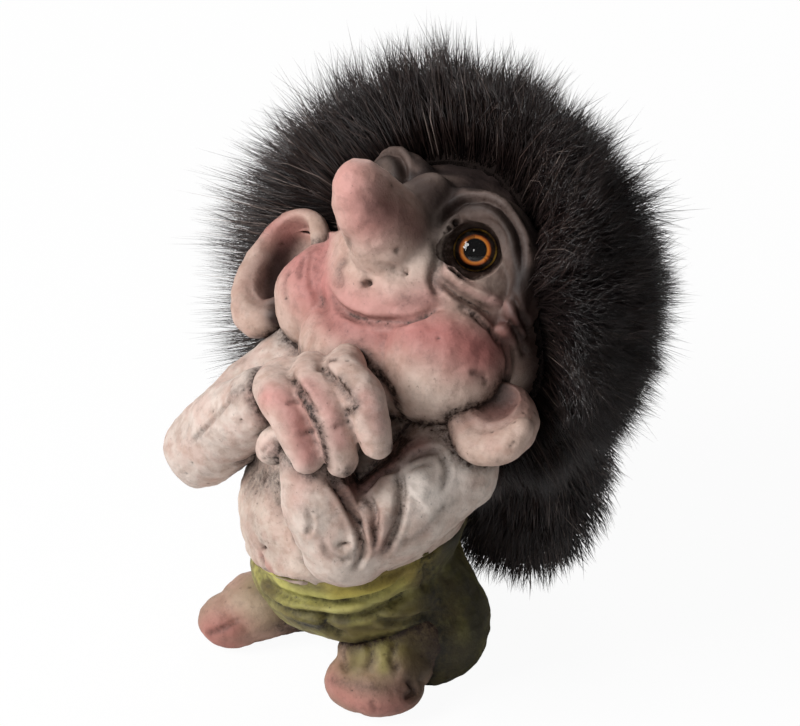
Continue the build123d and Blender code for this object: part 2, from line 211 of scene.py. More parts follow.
class Sculpt:
    """A fused skin under the modelling tools, with its paint."""

    def __init__(self, piece):
        self.piece = piece
        self.mesh = piece.data
        count = len(self.mesh.vertices)
        self.places = np.zeros(count * 3)
        self.mesh.vertices.foreach_get("co", self.places)
        self.places = self.places.reshape(-1, 3)
        edges = np.zeros(len(self.mesh.edges) * 2, int)
        self.mesh.edges.foreach_get("vertices", edges)
        self.edges = edges.reshape(-1, 2)
        self.degree = np.bincount(self.edges.ravel(), minlength=count)[:, None]
        self.colour = np.zeros((count, 3))
        self.wash_and_shade = np.zeros(count)
        self.refresh()

    def refresh(self):
        self.mesh.vertices.foreach_set("co", self.places.ravel())
        self.mesh.update()
        self.normals = np.zeros(len(self.places) * 3)
        self.mesh.vertex_normals.foreach_get("vector", self.normals)
        self.normals = self.normals.reshape(-1, 3)
        self.tree = BVHTree.FromPolygons(
            [Vector(place) for place in self.places], [tuple(face.vertices) for face in self.mesh.polygons]
        )

    def seen(self, pixels):
        """The places on the skin that the camera sees at the pixels."""
        places = []
        for pixel in pixels:
            start, ahead = sight_line(pixel)
            hit = self.tree.ray_cast(start, ahead)[0]
            if hit is None:
                hit = self.tree.find_nearest(start + ahead * (Vector(CAMERA_TARGET) - start).dot(ahead))[0]
            places.append(tuple(hit))
        return places

    def touching(self, places):
        """The nearest places on the skin."""
        return [tuple(self.tree.find_nearest(Vector(place))[0]) for place in places]

    def distance(self, path, steps=8):
        """Each vertex's distance from a smooth line, and how far along it that is (0 to 1)."""
        line = np.array(path, float)
        if len(line) > 1:
            line = along(line, steps * (len(line) - 1))
        else:
            line = np.vstack([line, line + 1e-6])
        best = np.full(len(self.places), 1e9)
        where = np.zeros(len(self.places))
        for k, (start, end) in enumerate(zip(line[:-1], line[1:])):
            ahead = end - start
            share = np.clip((self.places - start) @ ahead / max(ahead @ ahead, 1e-12), 0, 1)
            gap = np.linalg.norm(self.places - start - share[:, None] * ahead, axis=1)
            nearer = gap < best
            best[nearer] = gap[nearer]
            where[nearer] = (k + share[nearer]) / (len(line) - 1)
        return best, where

    def falloff(self, path, width, tapered=True):
        gap, where = self.distance(path)
        fade = np.exp(-((gap / width) ** 2))
        if tapered and len(path) > 1:
            fade = fade * np.clip(np.minimum(where, 1 - where) * END_FADE + END_SHARE, 0, 1)
        return fade

    def crease(self, path, width, depth, wash_and_shade=0.0, lips=0.0, tapered=True):
        """A groove along the path (a ridge if depth is below zero), with raised lips and dark wash and
        painted shade in it.
        """
        fade = self.falloff(path, width, tapered)
        push = -depth * fade
        if lips:
            gap, where = self.distance(path)
            ends = np.clip(np.minimum(where, 1 - where) * END_FADE, 0, 1) if len(path) > 1 else 1
            push = push + lips * np.exp(-(((gap - LIP_OFFSET * width) / width) ** 2)) * ends
        self.places += self.normals * push[:, None]
        if wash_and_shade:
            self.wash_and_shade = np.maximum(self.wash_and_shade, wash_and_shade * self.falloff(path, width * WASH_AND_SHADE_SPREAD, tapered))

    def tint(self, path, width, colour, amount, tapered=False):
        """Brushes a colour on along the path."""
        fade = np.clip(amount * self.falloff(path, width, tapered), 0, 1)[:, None]
        self.colour = self.colour * (1 - fade) + np.array(linear(colour)) * fade

    # Painted shade along a path, in the dark wash colour, where shade falls. The dark dabs at the left toe
    # are laid the same way.
    def soot(self, path, width, amount):
        self.wash_and_shade = np.maximum(self.wash_and_shade, amount * self.falloff(path, width, False))

    def carve(self, centre, radius):
        """Pushes the skin out of a ball."""
        away = self.places - np.array(centre)
        gap = np.linalg.norm(away, axis=1)
        inside = gap < radius
        self.places[inside] = np.array(centre) + away[inside] * (radius / gap[inside])[:, None]

    def scoop(self, matrix):
        """Pushes the skin out of an egg along the egg's own y axis, which leaves a bowl."""
        inverse = np.array(matrix.inverted())
        local = self.places @ inverse[:3, :3].T + inverse[:3, 3]
        inside = (local**2).sum(1) < 1
        local[inside, 1] = np.sqrt(1 - local[inside, 0] ** 2 - local[inside, 2] ** 2)
        forward = np.array(matrix)
        self.places[inside] = local[inside] @ forward[:3, :3].T + forward[:3, 3]

    def above(self, point, normal):
        """Each vertex's height above a plane."""
        normal = np.array(normal) / np.linalg.norm(normal)
        return (self.places - np.array(point)) @ normal, normal

    def smooth(self, rounds, values=None):
        """Neighbour averages, of the places or of other values."""
        values = self.places.copy() if values is None else values
        flat = values.ndim == 1
        values = values[:, None] if flat else values
        for _ in range(rounds):
            total = np.zeros_like(values)
            np.add.at(total, self.edges[:, 0], values[self.edges[:, 1]])
            np.add.at(total, self.edges[:, 1], values[self.edges[:, 0]])
            values = total / self.degree
        return values[:, 0] if flat else values

    def lumps(self, size, height, seed=0):
        """Soft uneven lumps of a size, as a hand leaves them in clay."""
        offset = Vector((seed * 17.3, seed * 7.1, seed * 3.7))
        bumps = np.array([noise.noise(Vector(place) / size + offset) for place in self.places])
        self.places += self.normals * (bumps * height)[:, None]

    def blotch(self, size, colour, amount, seed):
        """Uneven patches of a second colour."""
        offset = Vector((seed * 5.1, seed * 9.7, seed * 2.3))
        spots = (Vector(place) / size + offset for place in self.places)
        patches = np.array([noise.fractal(spot, 0.7, 2.1, 4) for spot in spots])
        fade = (amount * np.clip(patches * 1.8 + 0.2, 0, 1))[:, None]
        self.colour = self.colour * (1 - fade) + np.array(linear(colour)) * fade

    def dents(self, count, width, depth, seed):
        """Pinholes that air bubbles leave in a cast."""
        picks = np.random.default_rng(seed).choice(len(self.places), count, replace=False)
        tree = KDTree(len(self.places))
        for k, place in enumerate(self.places):
            tree.insert(place, k)
        tree.balance()
        for pick in picks:
            for place, k, gap in tree.find_range(self.places[pick], 2 * width):
                fade = math.exp(-((gap / width) ** 2))
                self.places[k] -= self.normals[k] * depth * fade
                self.wash_and_shade[k] = max(self.wash_and_shade[k], 0.8 * fade)

    def settle_wash_and_shade(self):
        """Darkens hollows, fine and broad: dark wash settled in them, with painted shade."""
        for rounds, gain, floor in HOLLOWS:
            hollow = ((self.smooth(rounds) - self.places) * self.normals).sum(1)
            self.wash_and_shade = np.maximum(self.wash_and_shade, np.clip((hollow - floor) * gain, 0, 1))
        self.wash_and_shade = np.clip(self.wash_and_shade, 0, 1)

    def shade_near(self, others, reach):
        """Painted shade where the skin runs into its neighbours."""
        for other in others:
            low, high = other.places.min(0) - reach, other.places.max(0) + reach
            for k in np.flatnonzero(((self.places > low) & (self.places < high)).all(1)):
                hit = other.tree.find_nearest(Vector(self.places[k]), reach)
                if hit[0] is not None:
                    fade = (1 - hit[3] / reach) ** CONTACT_FALL
                    if fade > self.wash_and_shade[k]:
                        self.wash_and_shade[k] = fade

    def finish(self, material, slot, *nodes):
        """Moves the skin into the frame with its paint and stands it in for its nodes."""
        self.places[:, 2] = np.maximum(self.places[:, 2], 0)
        self.refresh()
        self.mesh.transform(TO_FRAME)
        paint = self.mesh.color_attributes.new("paint", "FLOAT_COLOR", "POINT")
        paint.data.foreach_set("color", np.column_stack([self.colour, np.ones(len(self.colour))]).ravel())
        # Dark wash and painted shade, for the material to lay over the paint
        wash_and_shade = self.mesh.attributes.new("wash_and_shade", "FLOAT", "POINT")
        wash_and_shade.data.foreach_set("value", self.wash_and_shade)
        self.mesh.polygons.foreach_set("use_smooth", [True] * len(self.mesh.polygons))
        self.mesh.materials.clear()
        self.mesh.materials.append(material)
        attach(self.piece, "root")
        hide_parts(*nodes)


# Colours and materials


def linear(hexed):
    """The linear value of an sRGB hex colour."""
    parts = [int(hexed[k : k + 2], 16) / 255 for k in (1, 3, 5)]
    return tuple(part / 12.92 if part <= 0.04045 else ((part + 0.055) / 1.055) ** 2.4 for part in parts)


def add(tree, kind, links=(), **settings):
    """Adds a node, sets its values by socket or attribute name, and links sockets: (input, node, output)."""
    node = tree.nodes.new(kind)
    for name, value in settings.items():
        if hasattr(node, name):
            setattr(node, name, value)
        else:
            node.inputs[name.replace("_", " ")].default_value = value
    for socket, source, output in links:
        tree.links.new(source.outputs[output], node.inputs[socket])
    return node


def material(name):
    """An empty material: its node tree and its surface shader."""
    made = bpy.data.materials.new(name)
    made.use_nodes = True
    return made, made.node_tree, made.node_tree.nodes["Principled BSDF"]


def ramp(tree, source, output, stops):
    """A colour ramp from a value: stops are (position, hex colour)."""
    node = add(tree, "ShaderNodeValToRGB", [("Fac", source, output)])
    elements = node.color_ramp.elements
    while len(elements) < len(stops):
        elements.new(1)
    for element, (position, colour) in zip(elements, stops):
        element.position = position
        element.color = (*linear(colour), 1)
    return node


def painted(name, wash_and_shade_colour):
    """Cast latex rubber under matt paint.

    The eye sees a dull, slightly mottled skin with the grain of its plaster mould. A thin dark wash has
    settled in its hollows and is rubbed away unevenly elsewhere; the same dark colour is painted shade in the
    hollows, under parts and where parts meet.
    """
    made, tree, shader = material(name)
    place = add(tree, "ShaderNodeTexCoord")
    at = [("Vector", place, "Object")]
    paint = add(tree, "ShaderNodeAttribute", attribute_name="paint")
    wash_and_shade = add(tree, "ShaderNodeAttribute", attribute_name="wash_and_shade")
    mottle = add(tree, "ShaderNodeTexNoise", at, Scale=MOTTLE / MM, Detail=6.0, Roughness=0.65)
    grain = add(tree, "ShaderNodeTexNoise", at, Scale=GRAIN / MM, Detail=4.0, Roughness=0.7)
    smudge = add(tree, "ShaderNodeTexNoise", at, Scale=SMUDGE / MM, Detail=8.0, Roughness=0.75)
    tone = ramp(tree, mottle, "Fac", ((0.3, "#c9bfb8"), (0.7, "#ffffff")))
    sources = [("Color1", paint, "Color"), ("Color2", tone, "Color")]
    mixed = add(tree, "ShaderNodeMixRGB", sources, blend_type="MULTIPLY", Fac=0.5)
    patchy = add(tree, "ShaderNodeMath", [(0, grain, "Fac")], operation="MULTIPLY_ADD")
    patchy.inputs[1].default_value = 2.2
    patchy.inputs[2].default_value = -0.15
    # Dark wash and painted shade, broken up by the grain
    rubbed_wash_and_shade = add(tree, "ShaderNodeMath", [(0, wash_and_shade, "Fac"), (1, patchy, "Value")], operation="MULTIPLY")
    haze = [("Value", smudge, "Fac")]
    film = add(tree, "ShaderNodeMapRange", haze, From_Min=0.5, From_Max=0.75, To_Max=0.35)
    dots = [("Value", grain, "Fac")]
    specks = add(tree, "ShaderNodeMapRange", dots, From_Min=0.62, From_Max=0.74, To_Max=0.5)
    dirt = add(tree, "ShaderNodeMath", [(0, film, "Result"), (1, specks, "Result")], operation="MAXIMUM")
    amount = add(tree, "ShaderNodeMath", [(0, rubbed_wash_and_shade, "Value"), (1, dirt, "Value")], operation="ADD")
    amount.use_clamp = True
    washed_and_shaded = add(tree, "ShaderNodeMixRGB", [("Fac", amount, "Value"), ("Color1", mixed, "Color")])
    washed_and_shaded.inputs["Color2"].default_value = (*linear(wash_and_shade_colour), 1)
    tree.links.new(washed_and_shaded.outputs["Color"], shader.inputs["Base Color"])
    shader.inputs["Roughness"].default_value = 0.6
    shader.inputs["Specular IOR Level"].default_value = 0.35
    bump = add(tree, "ShaderNodeBump", [("Height", grain, "Fac")], Strength=0.5, Distance=GRAIN_DEPTH * MM)
    tree.links.new(bump.outputs["Normal"], shader.inputs["Normal"])
    return made


def pile():
    """Acrylic long pile: brown-black fibres of slightly different shades, with a soft sheen."""
    made, tree, shader = material("long_pile")
    shade = add(tree, "ShaderNodeAttribute", attribute_name="shade")
    shades = ((0.0, "#0f0908"), (0.5, "#221716"), (0.86, "#43342f"), (1.0, "#a5948b"))
    tint = ramp(tree, shade, "Fac", shades)
    tree.links.new(tint.outputs["Color"], shader.inputs["Base Color"])
    shader.inputs["Roughness"].default_value = 0.38
    shader.inputs["Specular IOR Level"].default_value = 0.75
    return made


def undercoat_look(name, colour, grains):
    """Acrylic wool, brushed or knitted: matt and dark, with a deep soft bump of so many grains to the mm."""
    made, tree, shader = material(name)
    place = add(tree, "ShaderNodeTexCoord")
    fluff = add(tree, "ShaderNodeTexNoise", [("Vector", place, "Object")], Scale=grains / MM, Detail=5.0)
    shader.inputs["Base Color"].default_value = (*linear(colour), 1)
    shader.inputs["Roughness"].default_value = 0.95
    shader.inputs["Specular IOR Level"].default_value = 0.1
    bump = add(tree, "ShaderNodeBump", [("Height", fluff, "Fac")], Strength=1.0, Distance=WOOL_DEPTH * MM)
    tree.links.new(bump.outputs["Normal"], shader.inputs["Normal"])
    return made


# Head


def eye_matrix(side):
    """The frame of an eye about the stance: +Z looks out of the head."""
    place = Matrix.Translation((side * EYE_PLACE[0], EYE_PLACE[1], EYE_PLACE[2]))
    turn = Matrix.Rotation(math.radians(side * EYE_TOE_OUT), 4, "Z")
    return head_matrix() @ place @ turn @ Matrix.Rotation(math.radians(90 - EYE_LIFT), 4, "X")


def mirrored(places):
    """The same places on the other side of the head."""
    back = head_matrix().inverted()
    found = []
    for place in places:
        local = back @ Vector(place)
        found.append(tuple(on_head((-local.x, local.y, local.z))))
    return found


# The head's clay, in its upright frame: eggs by place and half sizes, limbs by places and radii. The brow
# and the fold over it run outwards on the figure's left, and their mirror images end sooner.
HEAD_EGGS = {
    "skull": ((0, 0, 2), 29.4),
    "muzzle": ((0, -17, -9), (16, 9, 9)),
    "chin": ((0, -14, -19.9), (17, 12, 10.9)),
    "jaw": ((0, -6.5, -14), (27, 15, 18)),
    "left cheek": ((19, -10.9, -12), 14.4),
    "right cheek": ((-19, -10.9, -12), 12.8),
}
BROW = (
    (4, -19, 17.5), (10, -19, 19.6), (16.5, -17, 19.6),
    (23, -12.5, 16), (26.4, -9.5, 9), (27.4, -8.5, 1),
)
BROW_GIRTH = {1: (4.8, 5.2, 5.4, 5.2, 4.6, 3.2), -1: (4.8, 5.2, 4.8, 3.2)}
FOLD = (
    (7, -22.6, 20.5), (14, -21.4, 22.2), (20.5, -18.4, 20.4),
    (26, -14.4, 14), (28.4, -12.6, 5), (28, -12, -3),
)
FOLD_GIRTH = {1: (1.2, 2.2, 2.5, 2.6, 2.4, 1.4), -1: (1.2, 2, 1.9, 1.2)}
NOSE = ((0, -14, 2.4), (0, -23, 4.2), (0, -32, 6.8), (0, -38.5, 8.2), (0, -44, 9.6))
NOSE_GIRTH = (12.6, 10.4, 9.2, 7.6, 6.1)
BRIDGE = ((0, -27, 10), (0, -22.5, 17))
BRIDGE_GIRTH = (6.6, 6)
NOSE_WING = (7.6, -22, 0)
NOSE_WING_SIZE = (6.2, 6, 5.6)


def flank(clay, side, places, girths, steps):
    """A limb on one side of the head, which ends where its girths do."""
    limb(clay, [(side * x, y, z) for x, y, z in places[: len(girths)]], girths, head_matrix(), steps)


def head_piece():
    clay = bmesh.new()
    at = head_matrix()
    for place, size in HEAD_EGGS.values():
        egg(clay, place, size, at=at)
    for side in (1, -1):
        flank(clay, side, BROW, BROW_GIRTH[side], 6)
        flank(clay, side, FOLD, FOLD_GIRTH[side], 7)
    limb(clay, NOSE, NOSE_GIRTH, at)
    limb(clay, BRIDGE, BRIDGE_GIRTH, at)
    x, y, z = NOSE_WING
    for side in (1, -1):
        egg(clay, (side * x, y, z), NOSE_WING_SIZE, at=at)
    head = Sculpt(fused("head_skin", clay, VOXEL, 2))
    for side in (1, -1):
        head.carve(eye_matrix(side) @ Vector((0, 0, SOCKET_RISE)), SOCKET_RADIUS)
    head.places = head.smooth(2)
    head.refresh()
    return head


# Body


# The body's clay, in millimetres about the stance: eggs by place, half sizes and turn, limbs by places and
# radii
EGGS = {
    "torso": {
        "belly": ((0, 0, 39), (26, 25.5, 21)),
        "chest": ((0, 1.5, 51), (24.5, 22, 18)),
        "shoulders": ((1, 6, 60), (26.5, 14, 12)),
    },
    "trousers": {
        "band": ((0, 0, 39), (26.4, 25.9, 21.4)),
        "seat": ((0, 1, 23), (24.8, 23.8, 14.8)),
        "left calf": ((15, 12, 8.5), (11.5, 12, 8.5)),
    },
    "left_foot": {
        "toes": ((19.4, -11, 5.2), (11.4, 9, 6.6), (0, 0, 26)),
        "instep": ((17, -5, 8.4), (11.4, 11, 9)),
        "ankle": ((15.5, 2, 12), (12.4, 12, 11)),
    },
    "right_foot": {
        "toes": ((-20.8, -18.8, 4.8), (7.8, 8.2, 5.8), (0, 0, -28)),
        "instep": ((-18, -12, 7), (9, 10.6, 8), (0, 0, -25)),
        "ankle": ((-13.5, -4, 11), (9.6, 12, 10.4), (0, 0, -20)),
    },
    "left_arm": {"elbow": ((19.6, -17.8, 46.4), (10.2, 9, 9.4))},
    "right_arm": {},
    "left_hand": {"fist": ((10, -17.5, 68.5), (8.2, 8.8, 8.0))},
    "right_hand": {"palm": ((0, -17.5, 75.5), (8.4, 7, 7.6))},
}
LIMBS = {
    "torso": {},
    "trousers": {
        "left leg": (((10, 6, 20), (12.5, 7.5, 15.5), (15.5, 8.5, 10.5)), (15, 15, 14.8)),
        "right leg": (((-7.5, 3, 20), (-8, 3, 15.5), (-9, 3, 10.5)), (12.5, 12.7, 12.4)),
    },
    "left_foot": {"sole": (((9.6, 20, 6), (14.4, 4, 7), (18, -9, 6)), (8.8, 10.4, 8))},
    "right_foot": {"sole": (((-8, 19.2, 5.2), (-14.4, 0.8, 6), (-19.6, -14.4, 5.6)), (7.6, 8.4, 7.2))},
    "left_arm": {
        "upper arm": (((27, 3.5, 61), (25.5, -7.5, 54), (20, -17.5, 47)), (11.5, 10.6, 9.6)),
        "forearm": (((19, -19, 46.5), (14.5, -21, 56), (10.5, -20.5, 65)), (9.6, 8.8, 7.4)),
    },
    "right_arm": {
        "upper arm": (((-22, 5, 63), (-27, -7.5, 55), (-31, -17.5, 46.75)), (10.5, 9.6, 8.8)),
        "forearm": (((-30, -18.5, 47), (-20, -18.5, 58), (-8, -18.5, 70)), (9, 9, 7.6)),
    },
    "left_hand": {"thumb": (((5, -22, 68.5), (3, -24, 66.5), (1.4, -24.5, 64)), (4.6, 4, 3.2))},
    "right_hand": {
        "first finger": (
            ((-4, -17.5, 76), (2, -23, 79), (9.6, -26, 77.4), (15.8, -26, 70.2)),
            (4.8, 4.9, 4.7, 3.6),
        ),
        "second finger": (
            ((3, -13.5, 80.5), (8.5, -19, 82), (17.8, -21.6, 79.6), (22.2, -22, 70.2)),
            (4.4, 4.5, 4.5, 3.4),
        ),
        "third finger": (
            ((8, -8.5, 82.5), (14, -13.5, 84.6), (23.6, -16.6, 83), (27.8, -17.2, 75)),
            (4.4, 4.5, 4.5, 3.3),
        ),
    },
}


def body_piece(name):
    clay = bmesh.new()
    for form in EGGS[name].values():
        egg(clay, *form)
    for places, radii in LIMBS[name].values():
        limb(clay, places, radii)
    piece = Sculpt(fused(f"{name}_skin", clay, VOXEL, 3))
    piece.places[:, 2] = np.maximum(piece.places[:, 2], SOLE_LIFT)
    piece.refresh()
    return piece


# Ears, by side, in the head's upright frame: eggs, then the rim as angles about its middle, with its spread,
# and the half sizes of the bowl
EARS = {
    1: {
        "name": "left_ear_skin",
        "eggs": (((36, -7.2, -17), (9.8, 6.2, 9.2)),),
        "rim": (-12, -25, -45, -70, -95, -120, -140),
        "middle": (37, -14),
        "spread": (8.8, 9.8),
        "bowl": (6.6, 6.4, 7.0),
    },
    -1: {
        "name": "right_ear_skin",
        "eggs": (((-36.5, -7.2, -13), (10.6, 6.4, 12.8)), ((-31, -9.8, -2.8), (5, 3.8, 4.2))),
        "rim": (150, 128, 105, 80, 50, 20, -10, -40, -70, -100, -130),
        "middle": (36, -11.5),
        "spread": (8.8, 13),
        "bowl": (6.4, 9.4, 10.4),
    },
}
RIM_FRONT = -11.5
RIM_GIRTH = 2.4
LOBE_SWELL = 1.5
LOBE = (33, -10, -19)
LOBE_SIZE = (5, 3.4, 4.6)
BOWL_PLACE = (36.0, -15.5)
BOWL_RISE = 2


def ear_piece(side):
    """A thick ear like a bowl, with a rolled rim that swells towards its lobe."""
    ear = EARS[side]
    clay = bmesh.new()
    at = head_matrix()
    for place, size in ear["eggs"]:
        egg(clay, place, size, at=at)
    middle, spread = ear["middle"], ear["spread"]
    rim, girth = [], []
    for angle in ear["rim"]:
        across, rise = math.cos(math.radians(angle)), math.sin(math.radians(angle))
        rim.append((side * (middle[0] + spread[0] * across), RIM_FRONT - rise, middle[1] + spread[1] * rise))
        girth.append(RIM_GIRTH + LOBE_SWELL * max(0, -rise))
    limb(clay, rim, girth, at, steps=6)
    egg(clay, (side * LOBE[0], *LOBE[1:]), LOBE_SIZE, at=at)
    bowl = Matrix.Translation((side * BOWL_PLACE[0], BOWL_PLACE[1], middle[1] + BOWL_RISE))
    made = Sculpt(fused(ear["name"], clay, VOXEL, 2))
    made.scoop(at @ bowl @ Matrix.Diagonal((*ear["bowl"], 1)))
    made.places = made.smooth(2)
    made.refresh()
    return made


# Strokes: how each piece is worked and painted, by the pixels at which the camera sees each line


def work(sculpt, strokes, mirror=False):
    """Works named strokes on a piece, and their mirror images where asked.

    A stroke is its kind, its pixels and its width in millimetres. A crease goes on with its depth, its dark
    wash with painted shade, and the height of its lips, a tint with its colour and amount, and painted shade
    with its amount.
    """
    for kind, pixels, width, *rest in strokes.values():
        line = sculpt.seen(pixels)
        lines = [line, sculpt.touching(mirrored(line))] if mirror else [line]
        for line in lines:
            getattr(sculpt, kind)(line, width, *rest)
    sculpt.refresh()


ROSE = "#cf8d88"
CREAM = "#dccabd"

# On the left half of the face, and mirrored
FACE_PAIRED = {
    "hairline shade": (
        "tint",
        ((420, 170), (450, 172), (485, 178), (515, 200), (535, 235), (540, 280), (530, 310)),
        7.5, "#332826", 1.0,
    ),
    "socket shade": (
        "tint",
        ((436, 236), (450, 208), (480, 200), (508, 216), (522, 250), (518, 285)),
        4.5, "#1a1211", 0.95,
    ),
    "upper lid light": (
        "tint", ((462, 192), (488, 197), (510, 212), (526, 236), (531, 262)), 1.3, "#7d6b64", 0.75
    ),
    "inner corner shade": ("tint", ((432, 222), (437, 240), (440, 256)), 2.6, "#120b0a", 1.1),
    "brow root shade": ("tint", ((426, 188), (436, 204)), 4.0, "#3d302d", 0.8),
    "upper lid groove": (
        "crease",
        ((440, 224), (456, 206), (480, 199), (504, 211), (519, 237), (521, 272)),
        0.9, 1.7, 1.0, 0.5,
    ),
    "upper lid roll": (
        "crease", ((444, 236), (452, 222), (470, 215), (490, 220), (504, 237), (508, 262)), 1.0, -1.5, 0
    ),
    "upper lid roll light": ("tint", ((470, 213), (492, 219), (506, 238), (510, 262)), 0.8, "#6d5a53", 0.7),
    "lower lid roll": ("crease", ((444, 267), (458, 281), (480, 292), (506, 303)), 1.0, -1.5, 0),
    "lower lid light": ("tint", ((446, 270), (460, 283), (482, 295), (508, 308)), 1.3, "#d3aaa1", 1.0),
    "bag groove": ("crease", ((438, 277), (458, 295), (484, 309), (512, 326)), 0.9, 1.6, 1.0),
    "bag shade": ("tint", ((440, 279), (460, 297), (486, 311), (514, 330)), 1.0, "#3a2622", 0.9),
    "bag roll": ("crease", ((446, 294), (470, 309), (500, 332)), 1.0, -0.7, 0),
    "second bag groove": ("crease", ((458, 304), (482, 322), (500, 346)), 0.8, 0.8, 0.9),
    "first crow's foot": ("crease", ((512, 296), (522, 316), (528, 336)), 0.8, 0.9, 1.0, 0.3),
    "second crow's foot": ("crease", ((508, 318), (520, 338), (526, 356)), 0.8, 0.9, 1.0, 0.3),
    "third crow's foot": ("crease", ((496, 330), (506, 352), (506, 374)), 0.8, 0.5, 0.6, 0.2),
    "temple shade": ("tint", ((522, 318), (534, 345), (536, 375), (528, 395)), 6.5, "#35241f", 1.0),
    "cheek edge shade": ("tint", ((504, 350), (508, 380), (502, 398)), 3.0, "#5a3c35", 0.6),
}

# Across the face. Strokes given by a width and an amount alone are painted shade
FACE = {
    "mouth line": (
        "crease",
        ((328, 290), (338, 306), (356, 317), (382, 322), (414, 320), (440, 306)),
        0.9, 1.2, 0.75, 0.3,
    ),
    "smile fold": (
        "crease", ((322, 236), (316, 262), (320, 296), (336, 326), (362, 341), (392, 343)), 1.8, 0.7, 0.2
    ),
    "lower lip": ("crease", ((336, 325), (356, 334), (384, 337), (414, 333)), 2.2, -0.8, 0),
    "right lip fold": ("crease", ((350, 238), (342, 262), (341, 288)), 1.2, 0.9, 0.5),
    "left nose fold": ("crease", ((436, 236), (438, 258), (433, 280), (440, 296)), 1.1, 1.5, 1.0),
    "right nostril": ("crease", ((365, 280), (366, 287)), 1.2, 2.6, 1.0),
    "left nostril": ("crease", ((403, 271), (406, 274)), 0.9, 1.8, 0.9),
    "nose pit": ("crease", ((396, 249), (399, 252)), 0.6, 0.8, 0.8),
    "right cheek line": ("crease", ((299, 246), (302, 262), (300, 280)), 0.7, 0.6, 0.5),
    "outer cheek line": ("crease", ((286, 262), (284, 285), (288, 305)), 0.7, 0.5, 0.35),
    "inner cheek line": ("crease", ((312, 250), (309, 270), (312, 290)), 0.7, 0.5, 0.35),
    "nose wing groove": ("crease", ((378, 262), (392, 268), (408, 285), (430, 290)), 1.0, 0.5, 0.2),
    "cheek nick": ("crease", ((470, 372), (484, 376), (486, 386)), 0.6, 0.5, 0.6),
    "nose base light": ("tint", ((385, 250), (412, 262), (425, 248)), 6.0, CREAM, 0.7),
    "nose tip blush": ("tint", ((345, 178), (354, 200), (366, 222)), 8.0, "#d39a92", 0.9),
    "nose side shade": ("tint", ((378, 205), (400, 215), (418, 232)), 4.5, "#6f4a44", 0.75),
    "right cheek blush": ("tint", ((298, 258), (312, 285), (318, 250)), 7.5, "#c98581", 0.85),
    "lip blush": (
        "tint",
        ((325, 295), (340, 322), (385, 336), (425, 330), (460, 338), (480, 352)),
        5.0, "#bf7c77", 0.85,
    ),
    "left cheek blush": ("tint", ((430, 345), (460, 360), (490, 352)), 6.5, "#ae6561", 0.6),
    "upper lip blush": ("tint", ((345, 300), (390, 308), (425, 300)), 4.5, "#c98f89", 0.7),
    "chin light": ("tint", ((420, 390), (440, 405), (470, 405)), 6.0, CREAM, 0.6),
    "shade beside the fist": ("soot", ((376, 372), (396, 398), (404, 428)), 1.8, 1.0),
    "shade under the left cheek": ("soot", ((400, 425), (430, 428), (470, 420), (498, 398)), 1.6, 0.8),
    "shade under the right cheek": ("soot", ((300, 352), (345, 356), (370, 365)), 1.4, 0.8),
    "mouth corner shade": ("soot", ((404, 300), (440, 300)), 2.0, 0.35),
}
